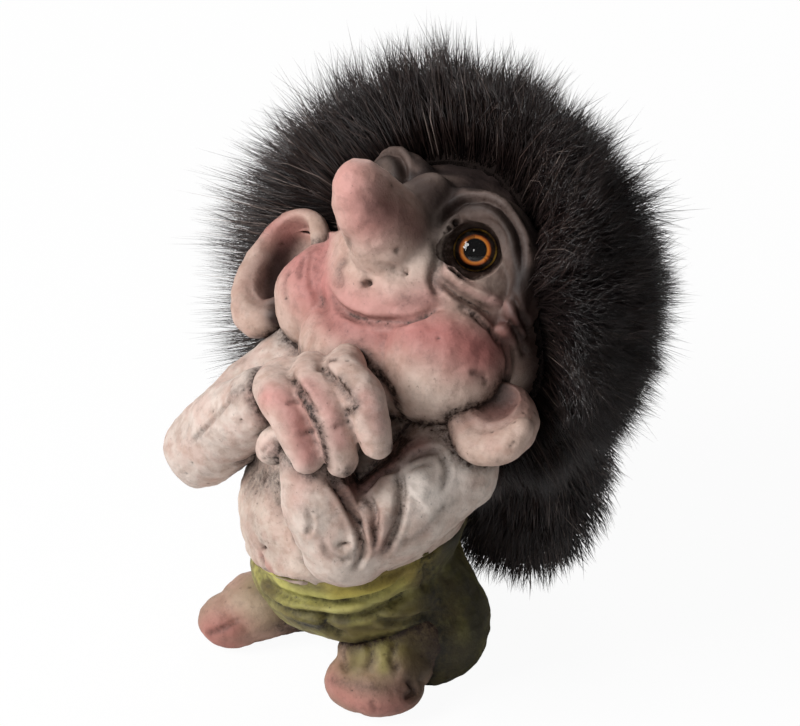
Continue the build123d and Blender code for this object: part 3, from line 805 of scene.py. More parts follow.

# By piece. Strokes given by a width and an amount alone are painted shade, but for the dark dabs at the left
# toe
BODY_STROKES = {
    "torso": {
        "navel": ("crease", ((262, 547), (264, 551)), 1.1, 2.0, 1.0),
        "belly fold": ("crease", ((286, 495), (292, 520), (298, 545)), 0.8, 0.9, 0.9),
        "waist groove": ("crease", ((250, 558), (275, 573), (300, 580), (325, 583)), 0.7, 0.9, 0.5, 0.5),
        "waist blush": ("tint", ((248, 562), (275, 578), (320, 588)), 1.0, "#c08f84", 0.9),
        "chest shade": ("soot", ((240, 474), (280, 480), (290, 500)), 4.5, 0.7),
        "belly shade": ("soot", ((250, 520), (262, 540)), 4.0, 0.2),
    },
    "right_arm": {
        "forearm line": ("crease", ((190, 444), (206, 428), (224, 408), (236, 396)), 0.5, 0.45, 0.55, 0.2),
        "elbow groove": ("crease", ((236, 474), (262, 466), (285, 464)), 1.0, 0.8, 0.9),
        "wrist groove": ("crease", ((262, 388), (260, 402), (264, 416), (274, 428)), 0.7, 0.6, 0.5),
        "wrist crease": ("crease", ((256, 438), (264, 432), (272, 429)), 0.6, 0.6, 0.8),
        "elbow shade": ("soot", ((245, 478), (275, 470)), 2.5, 0.6),
        "shade under the ear": ("soot", ((232, 396), (252, 386)), 2.0, 0.5),
        "wrist blush": ("tint", ((265, 392), (272, 410)), 3.5, ROSE, 0.5),
    },
    "left_arm": {
        "elbow groove": (
            "crease", ((330, 478), (344, 498), (358, 524), (363, 548), (356, 568)), 0.9, 1.9, 1.0, 0.7
        ),
        "inner arm groove": ("crease", ((368, 496), (376, 516), (372, 548)), 0.8, 1.1, 0.9, 0.4),
        "arm fold": ("crease", ((398, 470), (402, 494), (396, 526), (382, 556)), 0.9, 1.2, 0.9, 0.5),
        "shoulder groove": (
            "crease", ((404, 462), (420, 454), (438, 452), (447, 470), (442, 490)), 0.8, 0.7, 0.6, 0.3
        ),
        "crook groove": ("crease", ((362, 492), (376, 480), (400, 466)), 0.9, 1.0, 1.0, 0.3),
        "arm fold roll": ("crease", ((384, 474), (388, 500), (380, 530)), 1.7, -1.1, 0),
        "upper arm bulge": ("crease", ((418, 468), (424, 486), (414, 498)), 2.8, -1.6, 0),
        "elbow pit": ("crease", ((343, 543), (344, 546)), 0.9, 1.0, 0.8),
        "elbow wrinkle": ("crease", ((322, 540), (330, 556), (348, 560), (357, 546)), 0.7, 0.5, 0.4, 0.3),
        "forearm wrinkle": ("crease", ((306, 508), (311, 524), (306, 536)), 0.7, 0.5, 0.5, 0.3),
        "upper arm line": ("crease", ((448, 500), (430, 526), (400, 546)), 0.8, 0.4, 0.4),
        "crook blush": ("tint", ((418, 448), (396, 458), (372, 478), (352, 486)), 3.6, "#8d4f49", 0.8),
        "forearm blush": ("tint", ((300, 480), (296, 500)), 3.0, "#c79a90", 0.5),
        "groove blush": ("tint", ((340, 500), (352, 520)), 3.0, "#b98d80", 0.5),
        "fold blush": ("tint", ((376, 520), (384, 548)), 3.0, "#ab7f72", 0.5),
        "upper arm light": ("tint", ((420, 478), (428, 496), (450, 480)), 5.0, "#f3e8df", 0.9),
        "crook shade": ("soot", ((336, 474), (362, 480), (384, 464), (402, 444), (405, 428)), 3.6, 1.0),
        "groove shade": ("soot", ((366, 500), (360, 530)), 2.0, 0.6),
        "shoulder shade": ("soot", ((440, 430), (455, 440)), 3.0, 0.8),
    },
    "left_hand": {
        "thumb blush": ("tint", ((270, 448), (280, 452)), 3.0, ROSE, 0.3),
        "thumb groove": ("crease", ((262, 452), (270, 446), (280, 446)), 0.6, 0.4, 0.4),
    },
    "right_hand": {
        "first finger groove": ("crease", ((290, 374), (304, 394), (318, 416)), 0.8, 0.7, 0.9, 0.2),
        "second finger groove": ("crease", ((322, 366), (338, 384), (352, 402)), 0.8, 0.7, 0.9, 0.2),
        "knuckle crease": ("crease", ((318, 372), (326, 364), (338, 360)), 0.6, 0.5, 0.6),
        "first finger joint": ("crease", ((286, 404), (296, 402), (304, 400)), 0.6, 0.4, 0.4),
        "first finger end": ("crease", ((300, 436), (310, 432), (318, 430)), 0.6, 0.4, 0.4),
        "second finger end": ("crease", ((334, 428), (342, 424), (350, 422)), 0.6, 0.4, 0.4),
        "first finger gap": ("soot", ((299, 390), (317, 425), (327, 465)), 1.3, 1.0),
        "second finger gap": ("soot", ((339, 380), (352, 410), (358, 452)), 1.3, 1.0),
        "wrist groove": ("crease", ((262, 390), (258, 412), (268, 430)), 0.8, 0.5, 0.6, 0.2),
        "first finger blush": (
            "tint", ((268, 396), (285, 402), (300, 430), (308, 455)), 3.4, "#c4827c", 0.75
        ),
        "second finger blush": ("tint", ((308, 384), (328, 408), (340, 440)), 2.4, "#cc938c", 0.7),
        "third finger blush": ("tint", ((365, 395), (378, 425)), 2.4, ROSE, 0.35),
        "shade under the fingertips": ("soot", ((318, 472), (348, 474), (372, 462), (392, 448)), 1.8, 0.8),
        "shade beside the third finger": ("soot", ((392, 400), (398, 430), (396, 450)), 1.4, 0.9),
    },
    "trousers": {
        "band groove": (
            "crease",
            ((258, 576), (280, 592), (310, 600), (345, 600), (390, 586), (418, 566)),
            1.1, 0.9, 0.6, 0.6,
        ),
        "lower band groove": (
            "crease", ((262, 594), (300, 612), (345, 618), (380, 608), (412, 590)), 1.0, 1.3, 0.9, 0.7
        ),
        "hip fold": ("crease", ((345, 590), (380, 580), (410, 566), (432, 548)), 1.0, 0.9, 0.5, 0.5),
        "hip nick": ("crease", ((424, 562), (428, 576), (424, 588)), 0.9, 1.2, 0.9),
        "crotch groove": ("crease", ((322, 612), (330, 628), (345, 636)), 1.2, 1.4, 1.0),
        "hem groove": ("crease", ((375, 616), (400, 622), (430, 612)), 1.0, 0.9, 0.6, 0.5),
        "band light": (
            "tint", ((250, 572), (290, 592), (330, 598), (370, 592), (410, 574)), 3.0, "#cbc66e", 0.9
        ),
        "hip light": ("tint", ((340, 592), (380, 584), (412, 572), (430, 556)), 3.4, "#b8a545", 0.75),
        "lower fold light": ("tint", ((330, 610), (372, 606), (405, 594)), 1.8, "#c9c27a", 0.8),
        "hip ochre": ("tint", ((370, 578), (400, 572), (425, 580)), 2.6, "#7c5f2a", 0.5),
        "crotch shade": (
            "tint", ((296, 618), (330, 630), (370, 630), (400, 620), (428, 604)), 3.6, "#7c7040", 0.9
        ),
        "hem shade": ("tint", ((340, 622), (372, 628), (402, 618)), 1.2, "#4d4224", 0.7),
        "flank shade": ("tint", ((462, 545), (470, 590), (478, 630), (462, 668)), 9.0, "#2b2615", 0.9),
        "leg shade": ("tint", ((425, 600), (440, 640), (440, 660)), 5.0, "#4a3f22", 0.7),
        "hip painted shade": ("soot", ((425, 560), (436, 600), (432, 640)), 4.0, 0.8),
        "waist painted shade": ("soot", ((425, 545), (450, 535)), 4.0, 0.6),
        "crotch painted shade": ("soot", ((300, 622), (322, 626)), 2.5, 0.9),
    },
    "left_foot": {
        "toe nick": ("crease", ((408, 680), (415, 692), (422, 702)), 0.8, 1.2, 0.9, 0.4),
        "toe line": ("crease", ((372, 700), (376, 712)), 0.7, 0.4, 0.4),
        "first instep wrinkle": ("crease", ((345, 642), (343, 658), (348, 674)), 1.0, 0.5, 0.6),
        "second instep wrinkle": ("crease", ((368, 640), (372, 656), (366, 672)), 1.0, 0.5, 0.6),
        "third instep wrinkle": ("crease", ((396, 640), (392, 658), (398, 672)), 1.0, 0.6, 0.7),
        "toe blush": ("tint", ((330, 684), (350, 700), (375, 710), (402, 706)), 4.2, "#b97f75", 0.9),
        "cuff green": ("tint", ((336, 648), (380, 644), (425, 648)), 5.0, "#857a45", 0.95),
        "first cuff shade": ("tint", ((356, 640), (354, 664)), 1.6, "#5c4f2a", 0.7),
        "cuff light": ("tint", ((382, 640), (384, 668)), 1.6, "#a39a5a", 0.7),
        "second cuff shade": ("tint", ((410, 640), (414, 670)), 2.4, "#57492a", 0.7),
        "heel shade": ("tint", ((432, 650), (436, 690)), 5.0, "#3c2f22", 0.8),
        "toe soot": ("soot", ((334, 680), (355, 685), (380, 690), (402, 688)), 1.8, 0.45),
    },
    "right_foot": {
        "toe line": ("crease", ((206, 634), (222, 629), (240, 618)), 0.7, 0.5, 0.6),
        "toe blush": ("tint", ((194, 614), (206, 634), (228, 646)), 4.6, "#b0746b", 0.9),
        "cuff green": ("tint", ((262, 586), (284, 606)), 5.0, "#857a50", 0.8),
        "instep light": ("tint", ((238, 598), (262, 612)), 3.0, "#b9a48e", 0.5),
        "heel painted shade": ("soot", ((285, 625), (310, 630)), 3.0, 0.8),
        "cuff painted shade": ("soot", ((262, 592), (275, 600)), 2.0, 0.4),
    },
    "left_ear": {
        "shade under the hair": ("tint", ((500, 396), (522, 384), (545, 400)), 5.0, "#453029", 0.9),
    },
    "right_ear": {
        "bowl shade": ("tint", ((288, 240), (279, 262), (274, 290), (278, 318)), 3.2, "#33201d", 1.2),
        "rim blush": ("tint", ((300, 226), (270, 226)), 4.0, "#b87d76", 0.8),
    },
}

# Ground colours, and the patches on them: size, colour and amount
HEAD_BASE = "#cdb3a5"
BASE = {
    "torso": "#d3c1b4",
    "right_arm": "#d9c9bf",
    "left_arm": "#d6c6bb",
    "left_hand": "#d8c6ba",
    "right_hand": "#d6bfb3",
    "trousers": "#8b8350",
    "left_foot": "#a08772",
    "right_foot": "#a58a78",
}
BLOTCHES = {
    "skin": ((7.0, "#c79f92", 0.4), (3.0, "#a98674", 0.35)),
    "trousers": ((6.0, "#b3ae5c", 0.7), (4.0, "#6d5c34", 0.75), (2.0, "#544a26", 0.5)),
}


# Lumps of the clay (size, height, seed step), pinholes of the cast, and the reach of painted shade near a
# neighbour
LUMPS = ((9.0, 0.6, 0), (3.2, 0.3, 20), (1.3, 0.1, 40))
PINHOLES = 14
PINHOLE_WIDTH = 0.35
PINHOLE_DEPTH = 0.3
PINHOLE_SEED = 7
CONTACT_REACH = 3.6

# The trousers' band is drawn in below the waist line, and the belly swells over it
BAND_DRAW = 1.2
BAND_FADE = 2
BELLY_SWELL = 0.9
BELLY_RISE = 2.2
BELLY_SPREAD = 1.6
TUCK = 2.0
TUCK_START = 0.8

# Black around the glass eyes, and the tint and painted shade in the bowls of the ears
SOCKET_BACK = -1
SOCKET_TINT = (6.4, "#120b0a", 1.5)
BOWL_MIDDLE = (36.2, -10, -13.4)
BOWL_TINT = (7.0, "#7c4643", 0.9)
BOWL_PAINTED_SHADE = (5.0, 0.5)


def modelled():
    """The skins by name, with uneven clay and a blotched ground colour."""
    pieces = {"head": head_piece(), "left_ear": ear_piece(1), "right_ear": ear_piece(-1)}
    for name in EGGS:
        pieces[name] = body_piece(name)
    for seed, (name, piece) in enumerate(pieces.items()):
        piece.colour[:] = linear(BASE.get(name, HEAD_BASE))
        for size, tone, amount in BLOTCHES["trousers" if name == "trousers" else "skin"]:
            piece.blotch(size, tone, amount, seed + size)
        for size, height, step in LUMPS:
            piece.lumps(size, height, seed + step)
        piece.refresh()
    return pieces


def belt(torso, trousers):
    """Cuts the trousers off at the waist line and lets the belly swell over them."""
    height, normal = trousers.above(WAIST, WAIST_NORMAL)
    drawn = BAND_DRAW * np.clip(height / BAND_FADE + 1, 0, 1) ** 2
    trousers.places -= trousers.normals * drawn[:, None]
    trousers.places -= normal * np.maximum(height, 0)[:, None]
    height, normal = torso.above(WAIST, WAIST_NORMAL)
    swell = BELLY_SWELL * np.exp(-(((height - BELLY_RISE) / BELLY_SPREAD) ** 2))
    swell = swell - TUCK * np.clip((-height - TUCK_START) / BAND_FADE, 0, 1)
    torso.places += torso.normals * swell[:, None]
    for piece in (trousers, torso):
        piece.refresh()


def worked(pieces):
    """Folds, creases, paint and painted shade, as the strokes give them."""
    head = pieces["head"]
    for side in (1, -1):
        head.tint([tuple(eye_matrix(side) @ Vector((0, 0, SOCKET_BACK)))], *SOCKET_TINT)
    work(head, FACE_PAIRED, mirror=True)
    work(head, FACE)
    for name, side in (("left_ear", 1), ("right_ear", -1)):
        bowl = [tuple(on_head((side * BOWL_MIDDLE[0], *BOWL_MIDDLE[1:])))]
        pieces[name].tint(bowl, *BOWL_TINT)
        pieces[name].soot(bowl, *BOWL_PAINTED_SHADE)
    for name, strokes in BODY_STROKES.items():
        work(pieces[name], strokes)


def pitted_washed_and_shaded(pieces):
    """Pinholes, dark wash with painted shade in the hollows, and painted shade where a piece meets its
    neighbours.
    """
    for name, piece in pieces.items():
        piece.dents(PINHOLES, PINHOLE_WIDTH, PINHOLE_DEPTH, PINHOLE_SEED)
        piece.refresh()
        piece.settle_wash_and_shade()
        belted = {"torso": "trousers", "trousers": "torso"}.get(name)
        piece.shade_near([other for key, other in pieces.items() if key not in (name, belted)], CONTACT_REACH)


def castings():
    """The painted castings, each in place of its CAD node."""
    # The second colour of each is its dark wash, which the painted shade takes too
    skin = painted("painted_skin", "#2b1a12")
    green = painted("painted_trousers", "#1f1a0c")
    feet = painted("painted_feet", "#2b1a12")
    pieces = modelled()
    belt(pieces["torso"], pieces["trousers"])
    worked(pieces)
    pitted_washed_and_shaded(pieces)
    slots = {
        "trousers": ("painted_trousers", green),
        "left_foot": ("painted_feet", feet),
        "right_foot": ("painted_feet", feet),
    }
    nodes = {"head": "head_casting", "torso": "torso_casting", "trousers": "trousers_casting"}
    for name, piece in pieces.items():
        slot, look = slots.get(name, ("painted_skin", skin))
        piece.finish(look, slot, nodes.get(name, name))


# Hair, in the head's upright frame unless it says otherwise. The cap is a ball, the mane a wider one, and
# the parting the point on the crown's axis from which hair over the face window fans out.

CAP_CENTRE = np.array((0.0, 0.0, 2.0))
CAP_RADIUS = 30.2
FACE_SINK = 10.0
MANE_CENTRE = np.array((-3.0, -6.2, 3.9))
MANE_RADIUS = 50.4
MANE_WIDTH = 1.1
PARTING = np.array((0.0, 12.6, 2.0))
PARTING_START = 26
PARTING_FADE = 34
HAIR_REACH = 62.5

# The hairline: the cone of the open face, the line above the ears, and the sides of the neck
WINDOW_FLARE = 1.14
EAR_LINE_HEIGHT = 2.0
EAR_LINE_SLOPE = 0.76
NECK_SIDE = 13.0
HAIRLINE_EASE = 9.0

# Unevenness of the undercoat: lumps to the radius, and their height
ROUGHNESS = ((9, 1), (23, 0.6))

# What hair keeps clear of: how far it may hang over the face and the cheeks, and an egg round each ear
FACE_OVERHANG = 6.0
CHEEK_WIDTH = 34
RIGHT_EAR_EGG = ((-38, -14, -10), (15, 16, 15))
LEFT_EAR_EGG = ((36, -18, -22), (13, 14, 9))
EGG_MARGIN = 0.8
LIMB_MARGIN = 0.6

# Seams between the panels of fur, then each panel's fibres, seed and CAD node
CROWN_SEAM = 9.5
BACK_SEAM = 14.0
CROWN_STRIP = 12
PANELS = {
    "crown_hair_1": (11000, 40, "crown_fur"),
    "crown_hair_2": (12000, 41, "crown_fur"),
    "crown_hair_3": (11000, 42, "crown_fur"),
    "left_hair": (11000, 50, "left_fur"),
    "right_hair": (11000, 51, "right_fur"),
    "back_hair": (11000, 52, "back_fur"),
}

# Tufts: how many fibres share one and how far their roots spread, how tufts swirl and drift, how long they
# and their fibres are as shares of the way to the mane, and how far fibres lean to their tuft's tip
TUFT = 13
ROOT_SPREAD = 1.5
SWIRL = 0.26
DRIFT = 0.5
DRIFT_SIZE = 10
DRIFT_STEP = 31.7
LENGTH_DRIFT = 0.35
LENGTH_DRIFT_SIZE = 6
TUFT_LENGTH = (0.85, 1.25)
FIBRE_LENGTH = (0.75, 1.15)
FIBRE_THICK = (0.09, 0.16)
FIBRE_START = 0.25
FRIZZ = 0.14
LEAN = (0.35, 0.85)
STRAY_SHARE = 0.06
STRAY_REACH = 2.6
BEND_SPREAD = 1.7
DROOP = (0.5, 3.0)
TUFT_SHADE = 0.55
FIBRE_SHADE = 0.45

# A fibre's rings, from its root: how far along it each is, and its share of the full thickness
RINGS = ((0.0, 1.0), (0.4, 0.9), (0.75, 0.6))

# The fall of hair down the back, about the stance
NAPE_CENTRE = np.array((5.0, 46.5, 36.0))
NAPE_CORE = np.array((15.5, 9.5, 21.0))
NAPE_FIBRES = 11000
NAPE_TUFT = 12
NAPE_SEED = 60
NAPE_HANG = np.array((0, 0.05, -0.75))
NAPE_VOXEL = 1.0
NAPE_GROWTH = 0.5
NAPE_LUMPS = ((3.0, 2.0, 3), (1.4, 0.8, 4))
NAPE_ROOT_SPREAD = 1.6
NAPE_SWIRL = 0.2
NAPE_FRIZZ = 0.16
NAPE_LENGTH = (8, 15)
NAPE_TUFT_LENGTH = (10, 17)
NAPE_THICK = (0.1, 0.19)
NAPE_BEND = 0.4
NAPE_BEND_SPREAD = 0.9
NAPE_TIP_RISE = 1.5
NAPE_ROOT_RISE = 3

# The thin hair behind the right ear: the line of its tips, and the line of its roots by its start and run
SIDE_FIBRES = 4400
SIDE_TUFT = 9
SIDE_SEED = 61
SIDE_TIPS = ((-58, -24, 4), (-62, -19, -10), (-62, -9, -19), (-61, 3, -31), (-54, 15, -40))
SIDE_STEPS = 60
SIDE_ROOTS = np.array((-27.0, -3.0, 12.0))
SIDE_RUN = np.array((0.0, 16.0, -26.0))
SIDE_SAG = np.array((-1.0, 6.0, 0.0))
SIDE_TUFT_SPREAD = 3.0
SIDE_TIP_SPREAD = 2.2
SIDE_LINE_SPREAD = 2.5
SIDE_ROOT_SPREAD = 1.2
SIDE_BEND_SPREAD = 1.5
SIDE_LENGTH = (0.6, 1.02)
SIDE_THICK = (0.07, 0.13)


def over_window(points):
    """How far points lie outside the cone of the open face, measured across its axis."""
    across = np.hypot(points[:, 0], points[:, 2] - PARTING[2])
    return across - WINDOW_FLARE * (PARTING[1] - points[:, 1])


def margin(points):
    """How far points lie behind the hairline: the open face, the ears' line or the neck's sides."""
    face = over_window(points) / math.hypot(1, WINDOW_FLARE)
    ears = points[:, 2] - EAR_LINE_HEIGHT + EAR_LINE_SLOPE * points[:, 1]
    ears = ears / math.hypot(1, EAR_LINE_SLOPE)
    return np.minimum(face, np.maximum(ears, points[:, 1] - NECK_SIDE))


def in_egg(points, place, size):
    return (((points - place) / size) ** 2).sum(1) < 1


def clear_of_face(points):
    """Whether hair may pass through points: not over the open face, the cheeks or the ears' bowls."""
    face = over_window(points) > -FACE_OVERHANG
    low = points[:, 2] < EAR_LINE_HEIGHT - EAR_LINE_SLOPE * points[:, 1] - FACE_OVERHANG
    cheeks = (np.abs(points[:, 0]) < CHEEK_WIDTH) & low & (points[:, 1] < NECK_SIDE)
    return face & ~cheeks & ~in_egg(points, *RIGHT_EAR_EGG) & ~in_egg(points, *LEFT_EAR_EGG)


def unit(vectors):
    return vectors / np.linalg.norm(vectors, axis=1)[:, None]


def drift(place):
    """A random direction that changes smoothly from place to place, the same in each run."""
    return [noise.noise(place + Vector((0, 0, DRIFT_STEP * turn))) for turn in (1, 2, 3)]


def combed(roots):
    """How the hair grows from points on the cap: its direction, and how far it is to the mane's surface."""
    share = np.clip((PARTING_START - roots[:, 1]) / PARTING_FADE, 0, 1)[:, None]
    aims = unit(roots - CAP_CENTRE - share * (PARTING - CAP_CENTRE))
    squeeze = np.array((1 / MANE_WIDTH, 1, 1))
    offset = (roots - MANE_CENTRE) * squeeze
    ahead = aims * squeeze
    rate = (ahead**2).sum(1)
    along_aim = (offset * ahead).sum(1) / rate
    reach = -along_aim + np.sqrt(along_aim**2 - ((offset**2).sum(1) - MANE_RADIUS**2) / rate)
    return aims, reach


def moved(rows, matrix):
    """Rows of points under a matrix."""
    matrix = np.array(matrix)
    return rows @ matrix[:3, :3].T + matrix[:3, 3]


def shell(name, share, bumps, look, slot_name, *nodes):
    """A closed skin at a share of the hair's length, which sinks into the skull ahead of the hairline."""
    clay = bmesh.new()
    bmesh.ops.create_icosphere(clay, subdivisions=6, radius=1)
    mesh = bpy.data.meshes.new(name)
    clay.to_mesh(mesh)
    clay.free()
    places = np.zeros(len(mesh.vertices) * 3)
    mesh.vertices.foreach_get("co", places)
    rays = places.reshape(-1, 3)
    roots = CAP_CENTRE + CAP_RADIUS * rays
    aims, reach = combed(roots)
    rough = np.zeros(len(rays))
    for rate, height in ROUGHNESS:
        rough += height * np.array([noise.noise(Vector(ray) * rate) for ray in rays])
    behind = margin(roots)
    eased = np.clip(behind / HAIRLINE_EASE, 0, 1)
    grown = roots + aims * (reach * share * eased * (1 + bumps * rough))[:, None]
    grown = np.where(behind[:, None] > -1, grown, CAP_CENTRE + (CAP_RADIUS - FACE_SINK) * rays)
    mesh.vertices.foreach_set("co", moved(grown, TO_FRAME @ head_matrix()).ravel())
    dressed(bpy.data.objects.new(name, mesh), look, slot_name, *nodes)


def dressed(piece, look, slot_name, *nodes):
    """Adds a finished piece to the scene in place of its nodes."""
    bpy.context.scene.collection.objects.link(piece)
    piece.data.polygons.foreach_set("use_smooth", [True] * len(piece.data.polygons))
    piece.data.materials.append(look)
    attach(piece, "root")
    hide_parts(*nodes)


def strands(name, starts, bends, tips, thick, shade, look, *nodes):
    """Tapered three-sided fibres about the stance, each curved from its start by its bend to its tip."""
    count = len(starts)
    across = unit(np.cross(tips - starts, np.array((0.31, 0.47, 0.83))))
    over = unit(np.cross(tips - starts, across))
    rings = []
    for t, girth in RINGS:
        middle = (1 - t) ** 2 * starts + 2 * t * (1 - t) * bends + t**2 * tips
        for turn in (0, 120, 240):
            angle = math.radians(turn)
            offset = across * math.cos(angle) + over * math.sin(angle)
            rings.append(middle + offset * (thick * girth)[:, None])
    rings.append(tips)
    places = np.stack(rings, 1).reshape(-1, 3)
    faces = [(2, 1, 0)]
    for low in (0, 3):
        faces += [(low + k, low + (k + 1) % 3, low + 3 + (k + 1) % 3, low + 3 + k) for k in range(3)]
    faces += [(6 + k, 6 + (k + 1) % 3, 9) for k in range(3)]
    sizes = np.tile([len(face) for face in faces], count)
    corners = np.concatenate([np.array(face) for face in faces])
    corners = (np.arange(count)[:, None] * len(rings) + corners).ravel()
    mesh = bpy.data.meshes.new(name)
    mesh.vertices.add(len(places))
    mesh.vertices.foreach_set("co", (places * MM - np.array((0, FORWARD * MM, 0))).ravel())
    mesh.loops.add(len(corners))
    mesh.loops.foreach_set("vertex_index", corners)
    mesh.polygons.add(len(sizes))
    mesh.polygons.foreach_set("loop_start", np.concatenate([[0], np.cumsum(sizes)[:-1]]))
    mesh.update(calc_edges=True)
    tone = mesh.attributes.new("shade", "FLOAT", "POINT")
    tone.data.foreach_set("value", np.repeat(shade, len(rings)))
    dressed(bpy.data.objects.new(name, mesh), look, "long_pile", *nodes)


def inside_body(points):
    """Whether points about the stance lie in the body or just over it."""
    hit = np.zeros(len(points), bool)
    for name in ("torso", "trousers", "left_arm", "right_arm", "left_foot"):
        for place, size, *_ in EGGS[name].values():
            hit |= (((points - np.array(place)) / (np.array(size) + EGG_MARGIN)) ** 2).sum(1) < 1
        for places, radii in LIMBS[name].values():
            rows = [(*place, radius) for place, radius in zip(places, radii)]
            for row in along(rows, 6 * (len(places) - 1)):
                hit |= ((points - row[:3]) ** 2).sum(1) < (row[3] + LIMB_MARGIN) ** 2
    return hit


def on_panel(panel, places):
    """Which places on the cap belong to a panel of fur."""
    across, back, up = places.T
    crown = up > CROWN_SEAM
    sides = ~crown & (back < BACK_SEAM)
    return {
        "crown_hair_1": crown & (across <= -CROWN_STRIP),
        "crown_hair_2": crown & (across > -CROWN_STRIP) & (across <= CROWN_STRIP),
        "crown_hair_3": crown & (across > CROWN_STRIP),
        "left_hair": sides & (across > 0),
        "right_hair": sides & (across <= 0),
        "back_hair": ~crown & (back >= BACK_SEAM),
    }[panel]


def panel_hair(name, count, seed, look, node):
    """Hair over one panel of the cap, in tufts whose fibres lean together at the tips."""
    draw = np.random.default_rng(seed)
    rays = unit(draw.normal(size=(count, 3)))
    centres = CAP_CENTRE + CAP_RADIUS * rays
    centres = centres[(margin(centres) > 0) & on_panel(name, centres)]
    tufts = centres[: max(count // TUFT, 1)]
    pick = draw.integers(0, len(tufts), count)
    roots = tufts[pick] + draw.normal(size=(count, 3)) * ROOT_SPREAD
    roots = CAP_CENTRE + CAP_RADIUS * unit(roots - CAP_CENTRE)
    aims, reach = combed(roots)
    tuft_aims, tuft_reach = combed(tufts)
    swirl = draw.normal(size=(len(tufts), 3)) * SWIRL
    swirl += DRIFT * np.array([drift(Vector(tuft) / DRIFT_SIZE) for tuft in tufts])
    tuft_length = draw.uniform(*TUFT_LENGTH, len(tufts))
    uneven = np.array([noise.noise(Vector(tuft) / LENGTH_DRIFT_SIZE) for tuft in tufts])
    tuft_length *= 1 + LENGTH_DRIFT * uneven
    tuft_tips = tufts + unit(tuft_aims + swirl) * (tuft_reach * tuft_length)[:, None]
    length = reach * draw.uniform(*FIBRE_LENGTH, count) * (0.5 + 0.5 * tuft_length[pick])
    own = roots + unit(aims + draw.normal(size=(count, 3)) * FRIZZ) * length[:, None]
    lean = draw.uniform(*LEAN, count)[:, None]
    tips = own * (1 - lean) + tuft_tips[pick] * lean
    stray = draw.random(count) < STRAY_SHARE
    tips[stray] += draw.normal(size=(int(stray.sum()), 3)) * STRAY_REACH
    bends = roots + aims * (reach * 0.5)[:, None] + draw.normal(size=(count, 3)) * BEND_SPREAD
    eased = np.clip(margin(roots) / HAIRLINE_EASE, 0, 1)
    starts = roots + aims * (reach * FIBRE_START * eased)[:, None]
    keep = (margin(roots) > 0) & clear_of_face(tips) & clear_of_face((starts + tips) / 2)
    starts, bends, tips = (moved(rows[keep], head_matrix()) for rows in (starts, bends, tips))
    tips[:, 2] -= draw.uniform(*DROOP, len(tips))
    clear = ~inside_body(tips) & ~inside_body((starts + tips) / 2)
    clear &= (tips[:, 2] > 1) & (np.abs(tips[:, 0]) < HAIR_REACH)
    shade = TUFT_SHADE * draw.random(len(tufts))[pick] + FIBRE_SHADE * draw.random(count)
    thick = draw.uniform(*FIBRE_THICK, int(clear.sum()))
    strands(name, starts[clear], bends[clear], tips[clear], thick, shade[keep][clear], look, node)


def nape_hair(look):
    """The long fall of hair down the back, about the stance."""
    draw = np.random.default_rng(NAPE_SEED)
    count = NAPE_FIBRES
    rays = unit(draw.normal(size=(count, 3)))
    tufts = NAPE_CENTRE + NAPE_CORE * rays[: count // NAPE_TUFT]
    pick = draw.integers(0, len(tufts), count)
    roots = tufts[pick] + draw.normal(size=(count, 3)) * NAPE_ROOT_SPREAD
    outward = unit((roots - NAPE_CENTRE) / NAPE_CORE**2)
    aims = unit(outward + NAPE_HANG)
    length = draw.uniform(*NAPE_LENGTH, count)
    tuft_outward = unit((tufts - NAPE_CENTRE) / NAPE_CORE**2)
    tuft_sway = draw.normal(size=tufts.shape) * NAPE_SWIRL
    tuft_aims = unit(tuft_outward + tuft_sway + (0, 0, NAPE_HANG[2]))
    tuft_tips = tufts + tuft_aims * draw.uniform(*NAPE_TUFT_LENGTH, len(tufts))[:, None]
    own = roots + unit(aims + draw.normal(size=(count, 3)) * NAPE_FRIZZ) * length[:, None]
    lean = draw.uniform(*LEAN, count)[:, None]
    tips = own * (1 - lean) + tuft_tips[pick] * lean
    bends = roots + outward * (NAPE_BEND * length)[:, None]
    bends = bends + draw.normal(size=(count, 3)) * NAPE_BEND_SPREAD
    clear = ~inside_body(tips) & ~inside_body((roots + tips) / 2)
    clear &= (tips[:, 2] > NAPE_TIP_RISE) & (roots[:, 2] > NAPE_ROOT_RISE)
    shade = TUFT_SHADE * draw.random(len(tufts))[pick] + FIBRE_SHADE * draw.random(count)
    thick = draw.uniform(*NAPE_THICK, int(clear.sum()))
    roots, bends, tips = roots[clear], bends[clear], tips[clear]
    strands("nape_hair", roots, bends, tips, thick, shade[clear], look, "nape_fur")


def side_hair(look):
    """Thin hair that flares sideways from behind the right ear."""
    draw = np.random.default_rng(SIDE_SEED)
    count = SIDE_FIBRES
    ends = along(SIDE_TIPS, SIDE_STEPS)
    share = draw.uniform(0, 1, count // SIDE_TUFT)
    tuft_tips = ends[(share * SIDE_STEPS).astype(int)]
    tuft_tips = tuft_tips + draw.normal(size=(len(share), 3)) * SIDE_TUFT_SPREAD
    heads = SIDE_ROOTS + share[:, None] * SIDE_RUN
    heads = heads + draw.normal(size=heads.shape) * SIDE_LINE_SPREAD
    pick = draw.integers(0, len(share), count)
    roots = heads[pick] + draw.normal(size=(count, 3)) * SIDE_ROOT_SPREAD
    roots = CAP_CENTRE + CAP_RADIUS * unit(roots - CAP_CENTRE)
    tips = tuft_tips[pick] + draw.normal(size=(count, 3)) * SIDE_TIP_SPREAD
    tips = roots + (tips - roots) * draw.uniform(*SIDE_LENGTH, count)[:, None]
    bends = (roots + tips) / 2 + SIDE_SAG + draw.normal(size=(count, 3)) * SIDE_BEND_SPREAD
    roots, bends, tips = (moved(rows, head_matrix()) for rows in (roots, bends, tips))
    clear = ~inside_body(tips) & ~inside_body(bends) & (np.abs(tips[:, 0]) < HAIR_REACH)
    thick = draw.uniform(*SIDE_THICK, int(clear.sum()))
    shade = draw.random(int(clear.sum()))
    strands("side_hair", roots[clear], bends[clear], tips[clear], thick, shade, look, "right_fur")


